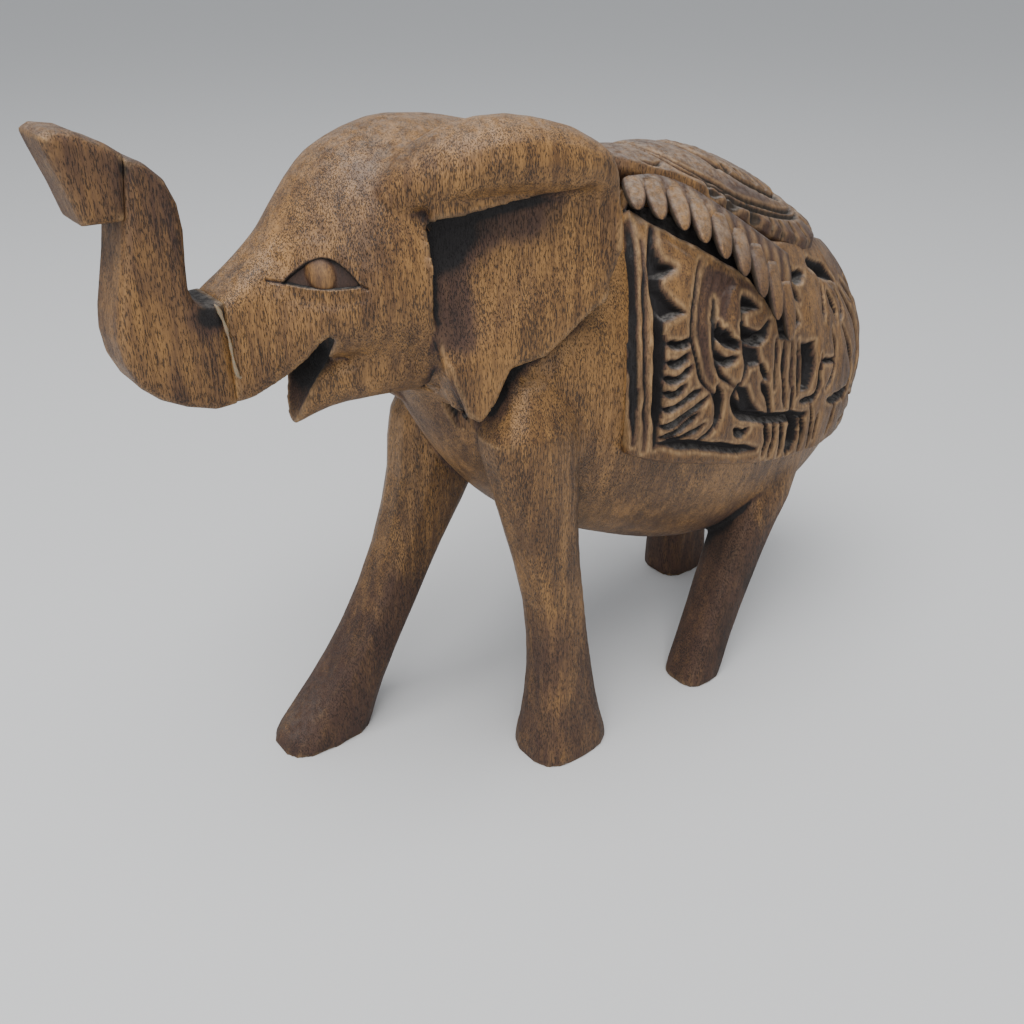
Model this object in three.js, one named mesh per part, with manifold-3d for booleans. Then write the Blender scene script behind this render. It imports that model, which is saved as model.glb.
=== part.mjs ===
// Carved wooden elephant, walking, with its trunk raised.
// Millimetres, +Z up. It faces -Y and its left side is +X. It stands on z = 0.
// The head, body, ears, legs and saddle cloth are the sections that the carver worked from
// one block. The trunk in front of the face is two further pieces, glued on.
import * as THREE from 'three';
import { mergeVertices } from 'three/addons/utils/BufferGeometryUtils.js';
import Module from 'manifold-3d';

const wasm = await Module();
wasm.setup();

// Driving dimensions
const LENGTH = 190;          // trunk tip to rump
const GAP = 0.3;             // clearance that is left where two pieces meet
const CLOTH = 1.8;           // how far the saddle cloth stands out from the body
const FRINGE = 2.6;          // how far the row of lappets stands out from the body
const PAD = 3.4;             // how far the pad on the back stands out from the body
const LOWER_JOINT = 22;      // lower glue joint of the trunk, from the trunk tip
const TRUNK_HALF = 5.6;      // half the width of the trunk
const TRUNK_EASE = 1.3;      // softened edge along both sides of the trunk
const EAR_FRONT = 54;        // front edge of the ear plate, from the trunk tip
const EAR_ROOT = 16;         // how far the front edge is from the middle of the head
const EAR_SPREAD = 16;       // degrees that the ear plate opens away from the body
const EAR_HALF = 3.2;        // half the thickness of the ear plate
const EAR_EASE = 0.8;        // softened edge round the ear plate
const EAR_DROP = 5.5;        // how much lower the right ear sits
const EYE = [1.3, 4.4, 2.6]; // half sizes of the eye, across, along and up
const EYE_PLACE = [9.2, 36.8, 120.2]; // middle of the left eye: x, back, z
const EYE_YAW = 38;          // degrees that the eye turns with the side of the face
const BEYOND = 40;           // further out than any side of the elephant
const WOOD = 0x9a7444;
const STAINED_WOOD = 0x7a5a40;
const DRY_GLUE = 0xd8cfc0;

// Sections along each lofted form, and corners round each section
const TORSO_RINGS = 32;
const TORSO_SIDES = 32;
const HEAD_RINGS = 24;
const HEAD_SIDES = 28;
const JAW_RINGS = 10;
const JAW_SIDES = 16;
const FOLD_RINGS = 10;
const FOLD_SIDES = 14;
const LEG_RINGS = 15;
const LEG_SIDES = 14;
const TAIL_RINGS = 13;
const TAIL_SIDES = 12;
const BEAD_RINGS = 8;
const BEAD_SIDES = 6;

// Every place along the length is given as its distance back from the trunk tip.
const yAt = (back) => back - LENGTH / 2;

// ---------------------------------------------------------------- shaping tools

// Smooth curve through rows of numbers, by Catmull-Rom on every column.
function smoothRows(rows, count) {
  const at = (i) => rows[Math.min(Math.max(i, 0), rows.length - 1)];
  const result = [];
  for (let k = 0; k < count; k += 1) {
    const u = (k / (count - 1)) * (rows.length - 1);
    const i = Math.min(Math.floor(u), rows.length - 2);
    const f = u - i;
    result.push(rows[i].map((_, c) => {
      const [a, b, d, e] = [at(i - 1)[c], at(i)[c], at(i + 1)[c], at(i + 2)[c]];
      const cubic = 3 * b - a - 3 * d + e;
      const square = 2 * a - 5 * b + 4 * d - e;
      return b + 0.5 * f * (d - a + f * (square + f * cubic));
    }));
  }
  return result;
}

// Turns a closed triangle mesh the right way out and makes it a solid.
function solid(geometry) {
  const bare = geometry.clone();
  bare.deleteAttribute('normal');
  bare.deleteAttribute('uv');
  const merged = mergeVertices(bare, 1e-4);
  const points = merged.attributes.position.array;
  const triangles = Uint32Array.from(merged.index.array);
  let volume = 0;
  const corner = (i) => new THREE.Vector3(points[3 * i], points[3 * i + 1], points[3 * i + 2]);
  for (let i = 0; i < triangles.length; i += 3) {
    const [a, b, c] = [corner(triangles[i]), corner(triangles[i + 1]), corner(triangles[i + 2])];
    volume += a.dot(b.cross(c));
  }
  if (volume < 0) {
    for (let i = 0; i < triangles.length; i += 3) {
      [triangles[i], triangles[i + 1]] = [triangles[i + 1], triangles[i]];
    }
  }
  const mesh = new wasm.Mesh({
    numProp: 3, vertProperties: Float32Array.from(points), triVerts: triangles,
  });
  return new wasm.Manifold(mesh);
}

// Loft through rounded sections. A row is
//   [x, back, z, half width across X, half depth, tilt in degrees, squareness, taper].
// Tilt 0 stands a section upright, facing along the body; 90 lays it flat, as in a leg.
// Squareness 2 is an ellipse, and more is boxier. Taper narrows the upper edge.
function loft(rows, rings, sides, grow = 0) {
  const points = [];
  const faces = [];
  const stations = smoothRows(rows, rings);
  for (const [x, back, z, halfWidth, halfDepth, tilt, square, taper] of stations) {
    const lean = THREE.MathUtils.degToRad(tilt);
    for (let s = 0; s < sides; s += 1) {
      const turn = (2 * Math.PI * s) / sides;
      const bend = (value) => Math.sign(value) * Math.abs(value) ** (2 / square);
      const narrow = 1 - taper * Math.sin(turn);
      const across = (halfWidth * narrow + grow) * bend(Math.cos(turn));
      const along = (halfDepth + grow) * bend(Math.sin(turn));
      points.push(x + across, yAt(back) + along * Math.sin(lean), z + along * Math.cos(lean));
    }
  }
  for (const end of [stations[0], stations[stations.length - 1]]) {
    points.push(end[0], yAt(end[1]), end[2]);
  }
  const firstCap = rings * sides;
  for (let s = 0; s < sides; s += 1) {
    const next = (s + 1) % sides;
    for (let r = 0; r < rings - 1; r += 1) {
      const a = r * sides;
      const b = a + sides;
      faces.push(a + s, a + next, b + next, a + s, b + next, b + s);
    }
    const last = (rings - 1) * sides;
    faces.push(firstCap, next, s, firstCap + 1, last + s, last + next);
  }
  const geometry = new THREE.BufferGeometry();
  geometry.setAttribute('position', new THREE.Float32BufferAttribute(points, 3));
  geometry.setIndex(faces);
  return solid(geometry);
}

// Slab centred on x = 0 whose outline is drawn from the side, as [back, z] points. Its two
// side edges are eased by a small bevel.
function sideSlab(outline, half, ease) {
  const shape = new THREE.Shape(outline.map(([back, z]) => new THREE.Vector2(yAt(back), z)));
  const geometry = new THREE.ExtrudeGeometry(shape, {
    depth: 2 * (half - ease),
    bevelSize: ease,
    bevelOffset: -ease,
    bevelThickness: ease,
    bevelSegments: 2,
  });
  geometry.rotateX(Math.PI / 2);
  geometry.rotateZ(Math.PI / 2);
  geometry.translate(ease - half, 0, 0);
  return solid(geometry);
}

// The same solid on the other side of the body.
const mirrored = (body) => body.mirror([1, 0, 0]);

const group = new THREE.Group();

function addPiece(name, body, colour, roughness = 0.62) {
  const mesh = body.getMesh();
  const geometry = new THREE.BufferGeometry();
  geometry.setAttribute('position', new THREE.Float32BufferAttribute(mesh.vertProperties, 3));
  geometry.setIndex(new THREE.Uint32BufferAttribute(mesh.triVerts, 1));
  geometry.computeVertexNormals();
  const material = new THREE.MeshStandardMaterial({ color: colour, roughness, metalness: 0 });
  const piece = new THREE.Mesh(geometry, material);
  piece.name = name;
  group.add(piece);
}

// ---------------------------------------------------------------- body

// Egg-shaped body, from inside the neck to the rump.
const TORSO = [
  [0, 56, 110, 12, 16, 0, 2.1, 0.05],
  [0, 66, 102, 18, 28, 0, 2.1, 0.05],
  [0, 78, 94, 23, 35, 0, 2.1, 0.05],
  [0, 92, 88, 26, 38.5, 0, 2.1, 0.05],
  [0, 108, 83.5, 28, 42.5, 0, 2.1, 0.05],
  [0, 125, 79.5, 28.5, 45.5, 0, 2.1, 0.05],
  [0, 142, 75, 27.5, 43.8, 0, 2.1, 0.05],
  [0, 158, 71.6, 25.3, 38.4, 0, 2.1, 0.05],
  [0, 172, 70, 21.3, 31.5, 0, 2.1, 0.05],
  [0, 181, 69.5, 16, 23.5, 0, 2.1, 0],
  [0, 186, 70, 10, 14.4, 0, 2.1, 0],
  [0, 188, 70.5, 0.6, 0.9, 0, 2.1, 0],
];
const torsoLoft = (grow) => loft(TORSO, TORSO_RINGS, TORSO_SIDES, grow);

// ---------------------------------------------------------------- head and trunk

// Skull and cheeks, from the lower glue joint of the trunk back into the neck.
const HEAD = [
  [0, LOWER_JOINT + GAP, 107.15, 5.7, 8.75, 0, 6, 0],
  [0, 26, 108.6, 6.5, 10.1, 0, 4, 0.05],
  [0, 30, 111, 7.8, 11.2, 0, 2.9, 0.2],
  [0, 33, 113, 9.4, 12, 0, 2.4, 0.26],
  [0, 36, 115.5, 11.4, 12.8, 0, 2.3, 0.3],
  [0, 41, 118, 14.2, 15.8, 0, 2.2, 0.28],
  [0, 47, 119.2, 16.8, 18.6, 0, 2.2, 0.22],
  [0, 56, 118, 18.8, 22, 0, 2.2, 0.14],
  [0, 66, 115, 19, 24.4, 0, 2.2, 0.1],
  [0, 77, 112, 18.5, 24.5, 0, 2.2, 0.1],
  [0, 86, 108, 16, 21, 0, 2.2, 0.1],
];

// Pointed lower lip, running back under the cheeks to the throat.
const JAW = [
  [0, 33.4, 92.4, 1.2, 3, 0, 2.2, 0],
  [0, 37, 95.6, 5, 4.8, 0, 2.2, -0.3],
  [0, 42, 98, 8.8, 5.8, 0, 2.2, -0.25],
  [0, 48, 99.8, 12.6, 7.2, 0, 2.2, -0.1],
  [0, 58, 102, 15, 10, 0, 2.2, 0],
  [0, 68, 104, 16, 12, 0, 2.2, 0],
];

// Side view of the trunk between the two glue joints, as [back, z].
const TRUNK_CURVE = [
  [LOWER_JOINT, 98.4], [18.6, 98.4], [14, 100], [10, 102.3], [7.2, 105], [5.6, 109], [5.2, 113],
  [5.7, 116.5], [6.8, 120.5], [8, 125], [9.2, 130.6], [10.6, 139.6], [13.5, 138.2],
  [16, 135.6], [17.4, 132], [17.7, 128], [17.2, 123], [17, 119], [17.6, 116.9],
  [19.5, 115.8], [LOWER_JOINT, 115.9],
];
const TRUNK_TIP = [
  [8.9, 130.7], [3.4, 130.9], [2.2, 136], [0.5, 141.5], [0, 143.3], [1.4, 144],
  [4.5, 143.5], [7.5, 141.9], [10.3, 139.8],
];

// ---------------------------------------------------------------- ears

// Side view of the ear plate, from the front edge over the top and down to its point.
const EAR_OUTLINE = [
  [54, 119], [54.5, 131], [61, 136], [69, 137.5], [77, 136.3], [84, 133.6],
  [88.8, 127], [89.2, 118], [85, 109.3], [79.6, 105.2], [74.4, 101], [67.6, 99.6],
  [63.2, 93.6], [59, 92.6], [56.2, 99.5], [54.6, 109],
];

// Thick folded upper edge of the ear.
const EAR_FOLD = [
  [12, 48, 130, 2, 2, 0, 2.2, 0],
  [14.8, 54, 133, 5.6, 4.6, 0, 2.2, 0],
  [18, 62, 135.2, 7, 5.6, 0, 2.2, 0],
  [20.4, 70, 135.2, 7, 5.8, 0, 2.2, 0],
  [23, 78.5, 133.4, 6.4, 5.2, 0, 2.2, 0],
  [25.4, 86, 130.4, 3.8, 3.4, 0, 2.2, 0],
];

// ---------------------------------------------------------------- legs

const FRONT_LEFT = [
  [13, 75, 102, 5, 7, 90, 2.2, 0],
  [18, 74, 86, 8, 10, 90, 2.4, 0],
  [18.6, 75, 75, 7.4, 9.2, 90, 2.6, 0],
  [19.2, 77, 60, 6.4, 6.9, 90, 3, 0],
  [19.6, 80.2, 42, 5.8, 5.7, 90, 3, 0],
  [19.6, 82.3, 25, 6.2, 6.3, 90, 3, 0],
  [19.3, 83.3, 12, 7, 8, 90, 3, 0],
  [19, 84, 3, 8.2, 10, 90, 3, 0],
  [19, 84, 0, 8.2, 10, 90, 3, 0],
];
const FRONT_RIGHT = [
  [-12, 82, 98, 5, 8, 90, 2.2, 0],
  [-16.5, 78, 76, 8.6, 12, 90, 2.6, 0],
  [-17, 75, 62, 7.8, 10.4, 90, 2.8, 0],
  [-17.5, 67, 44, 6.6, 7.4, 90, 3, 0],
  [-18, 57.5, 26, 6.4, 7, 90, 3, 0],
  [-18.5, 48.6, 12, 7, 8.4, 90, 3, 0],
  [-18.5, 42.5, 3, 7.6, 10.8, 90, 3, 0],
  [-18.5, 41, 0, 7.6, 11, 90, 3, 0],
];
const HIND_LEFT = [
  [12, 157, 66, 5, 8, 90, 2.4, 0],
  [17, 151.5, 52, 7.2, 8.6, 90, 2.6, 0],
  [18.6, 142, 35, 6.4, 6.8, 90, 3, 0],
  [20.2, 132.5, 15, 5.8, 6, 90, 3, 0],
  [21, 127.5, 2.5, 5.9, 6.1, 90, 3, 0],
  [21, 127, 0, 5.6, 5.8, 90, 3, 0],
];
const HIND_RIGHT = [
  [-12, 153, 66, 5, 8, 90, 2.4, 0],
  [-17, 155, 52, 7.4, 9.5, 90, 2.6, 0],
  [-18, 158, 35, 6.8, 8, 90, 3, 0],
  [-18.5, 160.5, 15, 6.8, 8, 90, 3, 0],
  [-19, 161.5, 2.5, 7, 8.4, 90, 3, 0],
  [-19, 161.5, 0, 6.8, 8.1, 90, 3, 0],
];

// ---------------------------------------------------------------- saddle cloth and tail

// Side views that the cloth, the lappets and the pad are cut to, as [back, z].
const CLOTH_OUTLINE = [
  [92.6, 72.5], [91.6, 90], [92.4, 100], [94.5, 109], [98.5, 117.5], [100.5, 120.2],
  [109, 113.8], [116.3, 108.8], [124.6, 100.1], [134, 91.8], [139.4, 88.4], [144, 94.4],
  [150.6, 102], [160, 98.4], [165, 99.8], [178, 98], [192, 84], [192, 58],
  [172, 56.5], [160, 57], [148.6, 58.5], [136, 60.7], [124.5, 64], [114.6, 67], [101, 71.5],
];
const FRINGE_OUTLINE = [
  [98.6, 125], [101, 121], [109, 114.6], [116.3, 109.6], [124.6, 100.9], [134, 92.6],
  [139.2, 89.4], [143.4, 95], [150, 102.8], [140, 109.6], [128, 117], [116, 122], [104, 125],
];
const PAD_OUTLINE = [
  [100, 127], [104, 125.6], [116, 122.6], [128, 117.6], [140, 110.2], [150.6, 103],
  [160, 99.4], [164.5, 101], [164.5, 140], [100, 140],
];
const TAIL_HALF = 2.6;       // half the width of the tail
const CLOTH_EDGE = 3.1;      // where each side of the cloth stops beside the tail

// Tail lying down the middle of the rump.
const TAIL = [
  [0, 168, 104.2, TAIL_HALF, 1.6, 34, 2.4, 0],
  [0, 175, 99.6, TAIL_HALF, 1.6, 42, 2.4, 0],
  [0, 181.3, 93.2, TAIL_HALF, 1.6, 54, 2.4, 0],
  [0, 186.2, 84.4, TAIL_HALF, 1.5, 72, 2.4, 0],
  [0, 188.6, 70.5, TAIL_HALF, 1.4, 90, 2.4, 0],
  [0, 186.4, 56.5, TAIL_HALF, 1.5, 108, 2.4, 0],
  [0, 181, 47, 1.8, 1.4, 119, 2.4, 0],
];

// Layer of wood that stands out from the body by a height, trimmed to a side view.
function layer(outline, height, fromX, toX) {
  const half = (toX - fromX) / 2;
  const trim = sideSlab(outline, half, 0).translate([fromX + half, 0, 0]);
  return torsoLoft(height).intersect(trim).subtract(torsoLoft(GAP));
}

// ---------------------------------------------------------------- eyes and glue

function ball(halfSizes, x, back, z) {
  const geometry = new THREE.SphereGeometry(1, 16, 8);
  geometry.rotateX(Math.PI / 2);
  geometry.scale(...halfSizes);
  geometry.rotateZ(-THREE.MathUtils.degToRad(EYE_YAW));
  geometry.translate(x, yAt(back), z);
  return solid(geometry);
}

// Bead of glue that dried as it ran down the left side of the lower joint.
const GLUE_BEAD = [
  [6.9, 20.6, 116, 0.3, 0.4, 90, 2, 0],
  [7, 21, 114.4, 0.4, 0.6, 90, 2, 0],
  [7, 22, 111, 0.4, 0.5, 90, 2, 0],
  [7, 22.2, 107, 0.4, 0.6, 90, 2, 0],
  [7, 22.2, 104, 0.5, 0.9, 90, 2, 0],
  [6.9, 22.1, 103, 0.3, 0.5, 90, 2, 0],
];

// ---------------------------------------------------------------- assembly

const torso = torsoLoft(0);
const aroundTorso = torsoLoft(GAP);
const headLoft = (grow) => loft(HEAD, HEAD_RINGS, HEAD_SIDES, grow);
const aroundHead = headLoft(GAP);

const leftEye = ball(EYE, ...EYE_PLACE);
const aroundEye = ball(EYE.map((half) => half + GAP), ...EYE_PLACE);
const head = headLoft(0)
  .subtract(aroundTorso)
  .subtract(aroundEye)
  .subtract(mirrored(aroundEye));
const jawLoft = (grow) => loft(JAW, JAW_RINGS, JAW_SIDES, grow);
const jaw = jawLoft(0).subtract(aroundTorso).subtract(aroundHead);
const aroundJaw = jawLoft(GAP);

const ear = sideSlab(EAR_OUTLINE, EAR_HALF, EAR_EASE)
  .translate([0, -yAt(EAR_FRONT), 0])
  .rotate([0, 0, -EAR_SPREAD])
  .translate([EAR_ROOT, yAt(EAR_FRONT), 0])
  .add(loft(EAR_FOLD, FOLD_RINGS, FOLD_SIDES));
const leftEar = ear.subtract(aroundHead).subtract(aroundTorso).subtract(aroundJaw);
const rightEar = mirrored(ear)
  .translate([0, 0, -EAR_DROP])
  .subtract(aroundHead)
  .subtract(aroundTorso)
  .subtract(aroundJaw);

const tailLoft = (grow) => loft(TAIL, TAIL_RINGS, TAIL_SIDES, grow);
const tail = tailLoft(0).subtract(aroundTorso);
const aroundTail = tailLoft(GAP);
const cloth = layer(CLOTH_OUTLINE, CLOTH, CLOTH_EDGE, BEYOND).subtract(aroundTail);
const fringe = layer(FRINGE_OUTLINE, FRINGE, CLOTH_EDGE, BEYOND);
const pad = layer(PAD_OUTLINE, PAD, -BEYOND, BEYOND).subtract(aroundTail);

addPiece('torso', torso, WOOD);
addPiece('head', head, WOOD);
addPiece('lower_jaw', jaw, WOOD);
addPiece('trunk_curve', sideSlab(TRUNK_CURVE, TRUNK_HALF, TRUNK_EASE), WOOD);
addPiece('trunk_tip', sideSlab(TRUNK_TIP, TRUNK_HALF, TRUNK_EASE), WOOD);
addPiece('trunk_glue_bead', loft(GLUE_BEAD, BEAD_RINGS, BEAD_SIDES), DRY_GLUE, 0.35);
addPiece('left_eye', leftEye, STAINED_WOOD);
addPiece('right_eye', mirrored(leftEye), STAINED_WOOD);
addPiece('left_ear', leftEar, WOOD);
addPiece('right_ear', rightEar, WOOD);
const legs = { FRONT_LEFT, FRONT_RIGHT, HIND_LEFT, HIND_RIGHT };
for (const [place, rows] of Object.entries(legs)) {
  const leg = loft(rows, LEG_RINGS, LEG_SIDES).subtract(aroundTorso);
  addPiece(`${place.toLowerCase()}_leg`, leg, WOOD);
}
addPiece('saddle_cloth_left', cloth, STAINED_WOOD);
addPiece('saddle_cloth_right', mirrored(cloth), STAINED_WOOD);
addPiece('saddle_fringe_left', fringe, STAINED_WOOD);
addPiece('saddle_fringe_right', mirrored(fringe), STAINED_WOOD);
addPiece('saddle_pad', pad, STAINED_WOOD);
addPiece('tail', tail, WOOD);

export default group;
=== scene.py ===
"""The looks of a carved wooden elephant with a raised trunk and an ornamented saddle cloth."""

import math

import bmesh
import bpy
import numpy as np
from bpy.props import FloatProperty, FloatVectorProperty, IntProperty, PointerProperty
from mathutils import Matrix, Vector, noise
from mathutils.bvhtree import BVHTree


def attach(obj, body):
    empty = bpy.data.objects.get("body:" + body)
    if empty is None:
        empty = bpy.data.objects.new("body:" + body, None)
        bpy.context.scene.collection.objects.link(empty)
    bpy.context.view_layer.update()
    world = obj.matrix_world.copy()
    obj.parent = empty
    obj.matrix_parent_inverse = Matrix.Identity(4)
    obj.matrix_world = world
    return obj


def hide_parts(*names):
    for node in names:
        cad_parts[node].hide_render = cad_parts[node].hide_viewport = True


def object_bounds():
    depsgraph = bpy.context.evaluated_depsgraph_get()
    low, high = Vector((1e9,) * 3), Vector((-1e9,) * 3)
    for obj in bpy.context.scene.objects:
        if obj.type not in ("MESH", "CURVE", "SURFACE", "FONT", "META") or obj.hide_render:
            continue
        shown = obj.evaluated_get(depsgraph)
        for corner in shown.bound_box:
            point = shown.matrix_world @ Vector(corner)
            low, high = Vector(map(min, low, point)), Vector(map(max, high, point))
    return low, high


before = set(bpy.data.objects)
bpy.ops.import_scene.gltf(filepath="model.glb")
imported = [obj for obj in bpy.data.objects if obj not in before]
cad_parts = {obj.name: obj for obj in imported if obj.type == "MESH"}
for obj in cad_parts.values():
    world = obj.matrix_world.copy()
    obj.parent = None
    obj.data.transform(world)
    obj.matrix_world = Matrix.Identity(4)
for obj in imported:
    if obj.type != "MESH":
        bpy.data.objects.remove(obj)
CAD_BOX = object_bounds()

bl_info = {
    "name": "Carved elephant",
    "version": (1, 0, 0),
    "blender": (4, 5, 0),
    "location": "View3D > Sidebar > Elephant",
    "description": "Sculpts and finishes a carved wooden elephant round its packed parts",
    "category": "Object",
}

# Shapes are worked out in millimetres as (across, back, up). Back is counted from the
# trunk tip towards the rump, up from the floor, and the elephant's left side is +across.
MM = 0.001
TIP = CAD_BOX[0].y / MM

BLOCK_NODES = (
    "torso", "head", "lower_jaw", "left_ear", "right_ear", "front_left_leg", "front_right_leg",
    "hind_left_leg", "hind_right_leg", "tail",
)
EAR_DROP = 5.5  # how much lower the right ear sits
EAR_SIDES = ((1, 0.0), (-1, EAR_DROP))
PAD_HEIGHT = 3.4  # how far the pad stands out from the body
WRAP_FROM = 150.0  # where the side of the cloth starts to turn round the rump
WRAP_RADIUS = 38.0
FAR = 1e9


# ------------------------------------------------------------------ small tools


def to_metres(points):
    """Points as (across, back, up) in millimetres, turned into the frame's metres."""
    moved = np.array(points, float).reshape(-1, 3)
    return (moved + [0, TIP, 0]) * MM


def to_millimetres(mesh):
    """A mesh's points as (across, back, up) in millimetres."""
    flat = np.empty(len(mesh.vertices) * 3)
    mesh.vertices.foreach_get("co", flat)
    return flat.reshape(-1, 3) / MM - [0, TIP, 0]


def put_points(mesh, points):
    mesh.vertices.foreach_set("co", to_metres(points).ravel())
    mesh.update()


def ease(value):
    """Smooth step from 0 to 1."""
    value = np.clip(value, 0, 1)
    return value * value * (3 - 2 * value)


def along(points, count):
    """A polyline resampled to evenly spaced points."""
    points = np.array(points, float)
    steps = np.linalg.norm(np.diff(points, axis=0), axis=1)
    run = np.concatenate([[0], np.cumsum(steps)])
    want = np.linspace(0, run[-1], count)
    return np.stack([np.interp(want, run, points[:, c]) for c in range(points.shape[1])], 1)


def rounded(points, count):
    """A smooth curve through a few points, by Catmull-Rom, evenly resampled."""
    points = np.array(points, float)
    padded = np.vstack([2 * points[0] - points[1], points, 2 * points[-1] - points[-2]])
    f = np.linspace(0, 1, 12, endpoint=False)[:, None]
    parts = []
    for a, b, c, d in zip(padded, padded[1:], padded[2:], padded[3:]):
        parts.append(
            b + 0.5 * f * (c - a + f * (2 * a - 5 * b + 4 * c - d + f * (3 * b - a - 3 * c + d)))
        )
    return along(np.vstack(parts + [points[-1:]]), count)


def from_line(p, q, line):
    """Distance of each (p, q) to a polyline, and how far along it the nearest point is."""
    best = np.full(np.shape(p), FAR)
    share = np.zeros(np.shape(p))
    line = np.array(line, float)
    steps = np.linalg.norm(np.diff(line, axis=0), axis=1)
    run, total = 0.0, steps.sum()
    for (ax, ay), (bx, by), step in zip(line, line[1:], steps):
        if step == 0:
            continue
        u = np.clip(((p - ax) * (bx - ax) + (q - ay) * (by - ay)) / step**2, 0, 1)
        d = np.hypot(p - ax - u * (bx - ax), q - ay - u * (by - ay))
        near = d < best
        best = np.where(near, d, best)
        share = np.where(near, (run + u * step) / total, share)
        run += step
    return best, share


def inside(p, q, outline):
    """Distance inside a closed outline, negative outside."""
    ring = np.array(list(outline) + [outline[0]], float)
    d, _ = from_line(p, q, ring)
    odd = np.zeros(np.shape(p), bool)
    for (ax, ay), (bx, by) in zip(ring, ring[1:]):
        if ay == by:
            continue
        cross = (ay > q) != (by > q)
        odd ^= cross & (p < (bx - ax) * (q - ay) / (by - ay) + ax)
    return np.where(odd, d, -d)
def spot(p, q, back, up, along_reach, up_reach, power=2):
    """A soft patch over places (p, q), 1 in its middle and 0 far away."""
    return np.exp(-(((p - back) / along_reach) ** power) - ((q - up) / up_reach) ** power)


def noise_over(p, q, p_size, q_size, layer):
    """Smooth noise over arrays of places (p, q)."""
    flat = [noise.noise((a / p_size, b / q_size, layer)) for a, b in zip(p.ravel(), q.ravel())]
    return np.array(flat).reshape(p.shape)
def new_object(name, points, faces):
    """A mesh object from millimetre points. Its faces are shaded smooth."""
    mesh = bpy.data.meshes.new(name)
    mesh.from_pydata(to_metres(points).tolist(), [], faces)
    mesh.validate()
    mesh.shade_smooth()
    piece = bpy.data.objects.new(name, mesh)
    bpy.context.scene.collection.objects.link(piece)
    return piece
def strip_faces(low, high):
    """Faces between two closed rings of point numbers, both listed the same way round."""
    low, high = np.array(low), np.array(high)
    return np.stack([low, np.roll(low, -1), np.roll(high, -1), high], 1).tolist()


def tube_faces(rings, count, start=0):
    """Faces between rings of count points each, stored one after another from start on."""
    index = start + np.arange(rings * count).reshape(rings, count)
    return [face for low, high in zip(index, index[1:]) for face in strip_faces(low, high)]


def fan_faces(ring, hub):
    """Triangles from a closed ring of point numbers to one point."""
    ring = list(ring)
    return [[int(a), int(b), hub] for a, b in zip(ring, ring[1:] + ring[:1])]
def drop(piece):
    mesh = piece.data
    bpy.data.objects.remove(piece)
    bpy.data.meshes.remove(mesh)


def settled(piece):
    """Turns an object with its modifiers into a plain mesh object of the same name."""
    graph = bpy.context.evaluated_depsgraph_get()
    mesh = bpy.data.meshes.new_from_object(piece.evaluated_get(graph))
    old = piece.data
    piece.modifiers.clear()
    piece.data = mesh
    bpy.data.meshes.remove(old)
    return piece


def node_copy(name, grow=0.0, quads=False):
    """A merged copy of a CAD node, pushed out by grow millimetres."""
    bm = bmesh.new()
    bm.from_mesh(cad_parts[name].data)
    bmesh.ops.remove_doubles(bm, verts=bm.verts, dist=1e-6)
    if quads:
        bmesh.ops.join_triangles(
            bm, faces=bm.faces, angle_face_threshold=0.7, angle_shape_threshold=3.1
        )
    bm.normal_update()
    for v in bm.verts:
        v.co += v.normal * grow * MM
    mesh = bpy.data.meshes.new(name + "_copy")
    bm.to_mesh(mesh)
    bm.free()
    piece = bpy.data.objects.new(name + "_copy", mesh)
    bpy.context.scene.collection.objects.link(piece)
    return piece


def wedge(sections):
    """A closed cutter lofted through rings of the same number of millimetre points."""
    count = len(sections[0])
    points = [p for ring in sections for p in ring]
    last = len(points) - count
    faces = [list(range(count))[::-1], list(range(last, last + count))]
    faces += tube_faces(len(sections), count)
    piece = new_object("wedge", points, faces)
    bm = bmesh.new()
    bm.from_mesh(piece.data)
    bmesh.ops.recalc_face_normals(bm, faces=bm.faces)
    bmesh.ops.triangulate(bm, faces=bm.faces)
    bm.to_mesh(piece.data)
    bm.free()
    return piece


def cut(piece, gouges):
    for gouge in gouges:
        change = piece.modifiers.new("Cut", "BOOLEAN")
        change.operation = "DIFFERENCE"
        change.solver = "EXACT"
        change.object = gouge
        settled(piece)


def joined(name, pieces):
    """Several mesh objects as one."""
    bm = bmesh.new()
    for piece in pieces:
        bm.from_mesh(piece.data)
        drop(piece)
    mesh = bpy.data.meshes.new(name)
    bm.to_mesh(mesh)
    bm.free()
    whole = bpy.data.objects.new(name, mesh)
    bpy.context.scene.collection.objects.link(whole)
    return whole


def remeshed(piece, grain):
    change = piece.modifiers.new("Remesh", "REMESH")
    change.mode = "VOXEL"
    change.voxel_size = grain * MM
    return settled(piece)


def edges_of(mesh):
    flat = np.empty(len(mesh.edges) * 2, np.int32)
    mesh.edges.foreach_get("vertices", flat)
    return flat.reshape(-1, 2)


def neighbour_mean(values, edges, count):
    """The mean of each point's neighbours."""
    total = np.zeros(values.shape)
    width = values.shape[1]
    ends = ((edges[:, 0], edges[:, 1]), (edges[:, 1], edges[:, 0]))
    for c in range(width):
        for here, there in ends:
            total[:, c] += np.bincount(here, values[there, c], len(values))
    return total / count[:, None]


def smoothed(points, edges, rounds, keep_size=True):
    """Points smoothed along the edges. keep_size stops them from shrinking."""
    count = np.bincount(edges.ravel(), minlength=len(points)).astype(float).clip(1)
    moved = points.copy()
    for _ in range(rounds):
        moved += 0.5 * (neighbour_mean(moved, edges, count) - moved)
        if keep_size:
            moved -= 0.53 * (neighbour_mean(moved, edges, count) - moved)
    return moved


def normals_of(mesh):
    flat = np.empty(len(mesh.vertices) * 3)
    mesh.vertex_normals.foreach_get("vector", flat)
    return flat.reshape(-1, 3)


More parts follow.
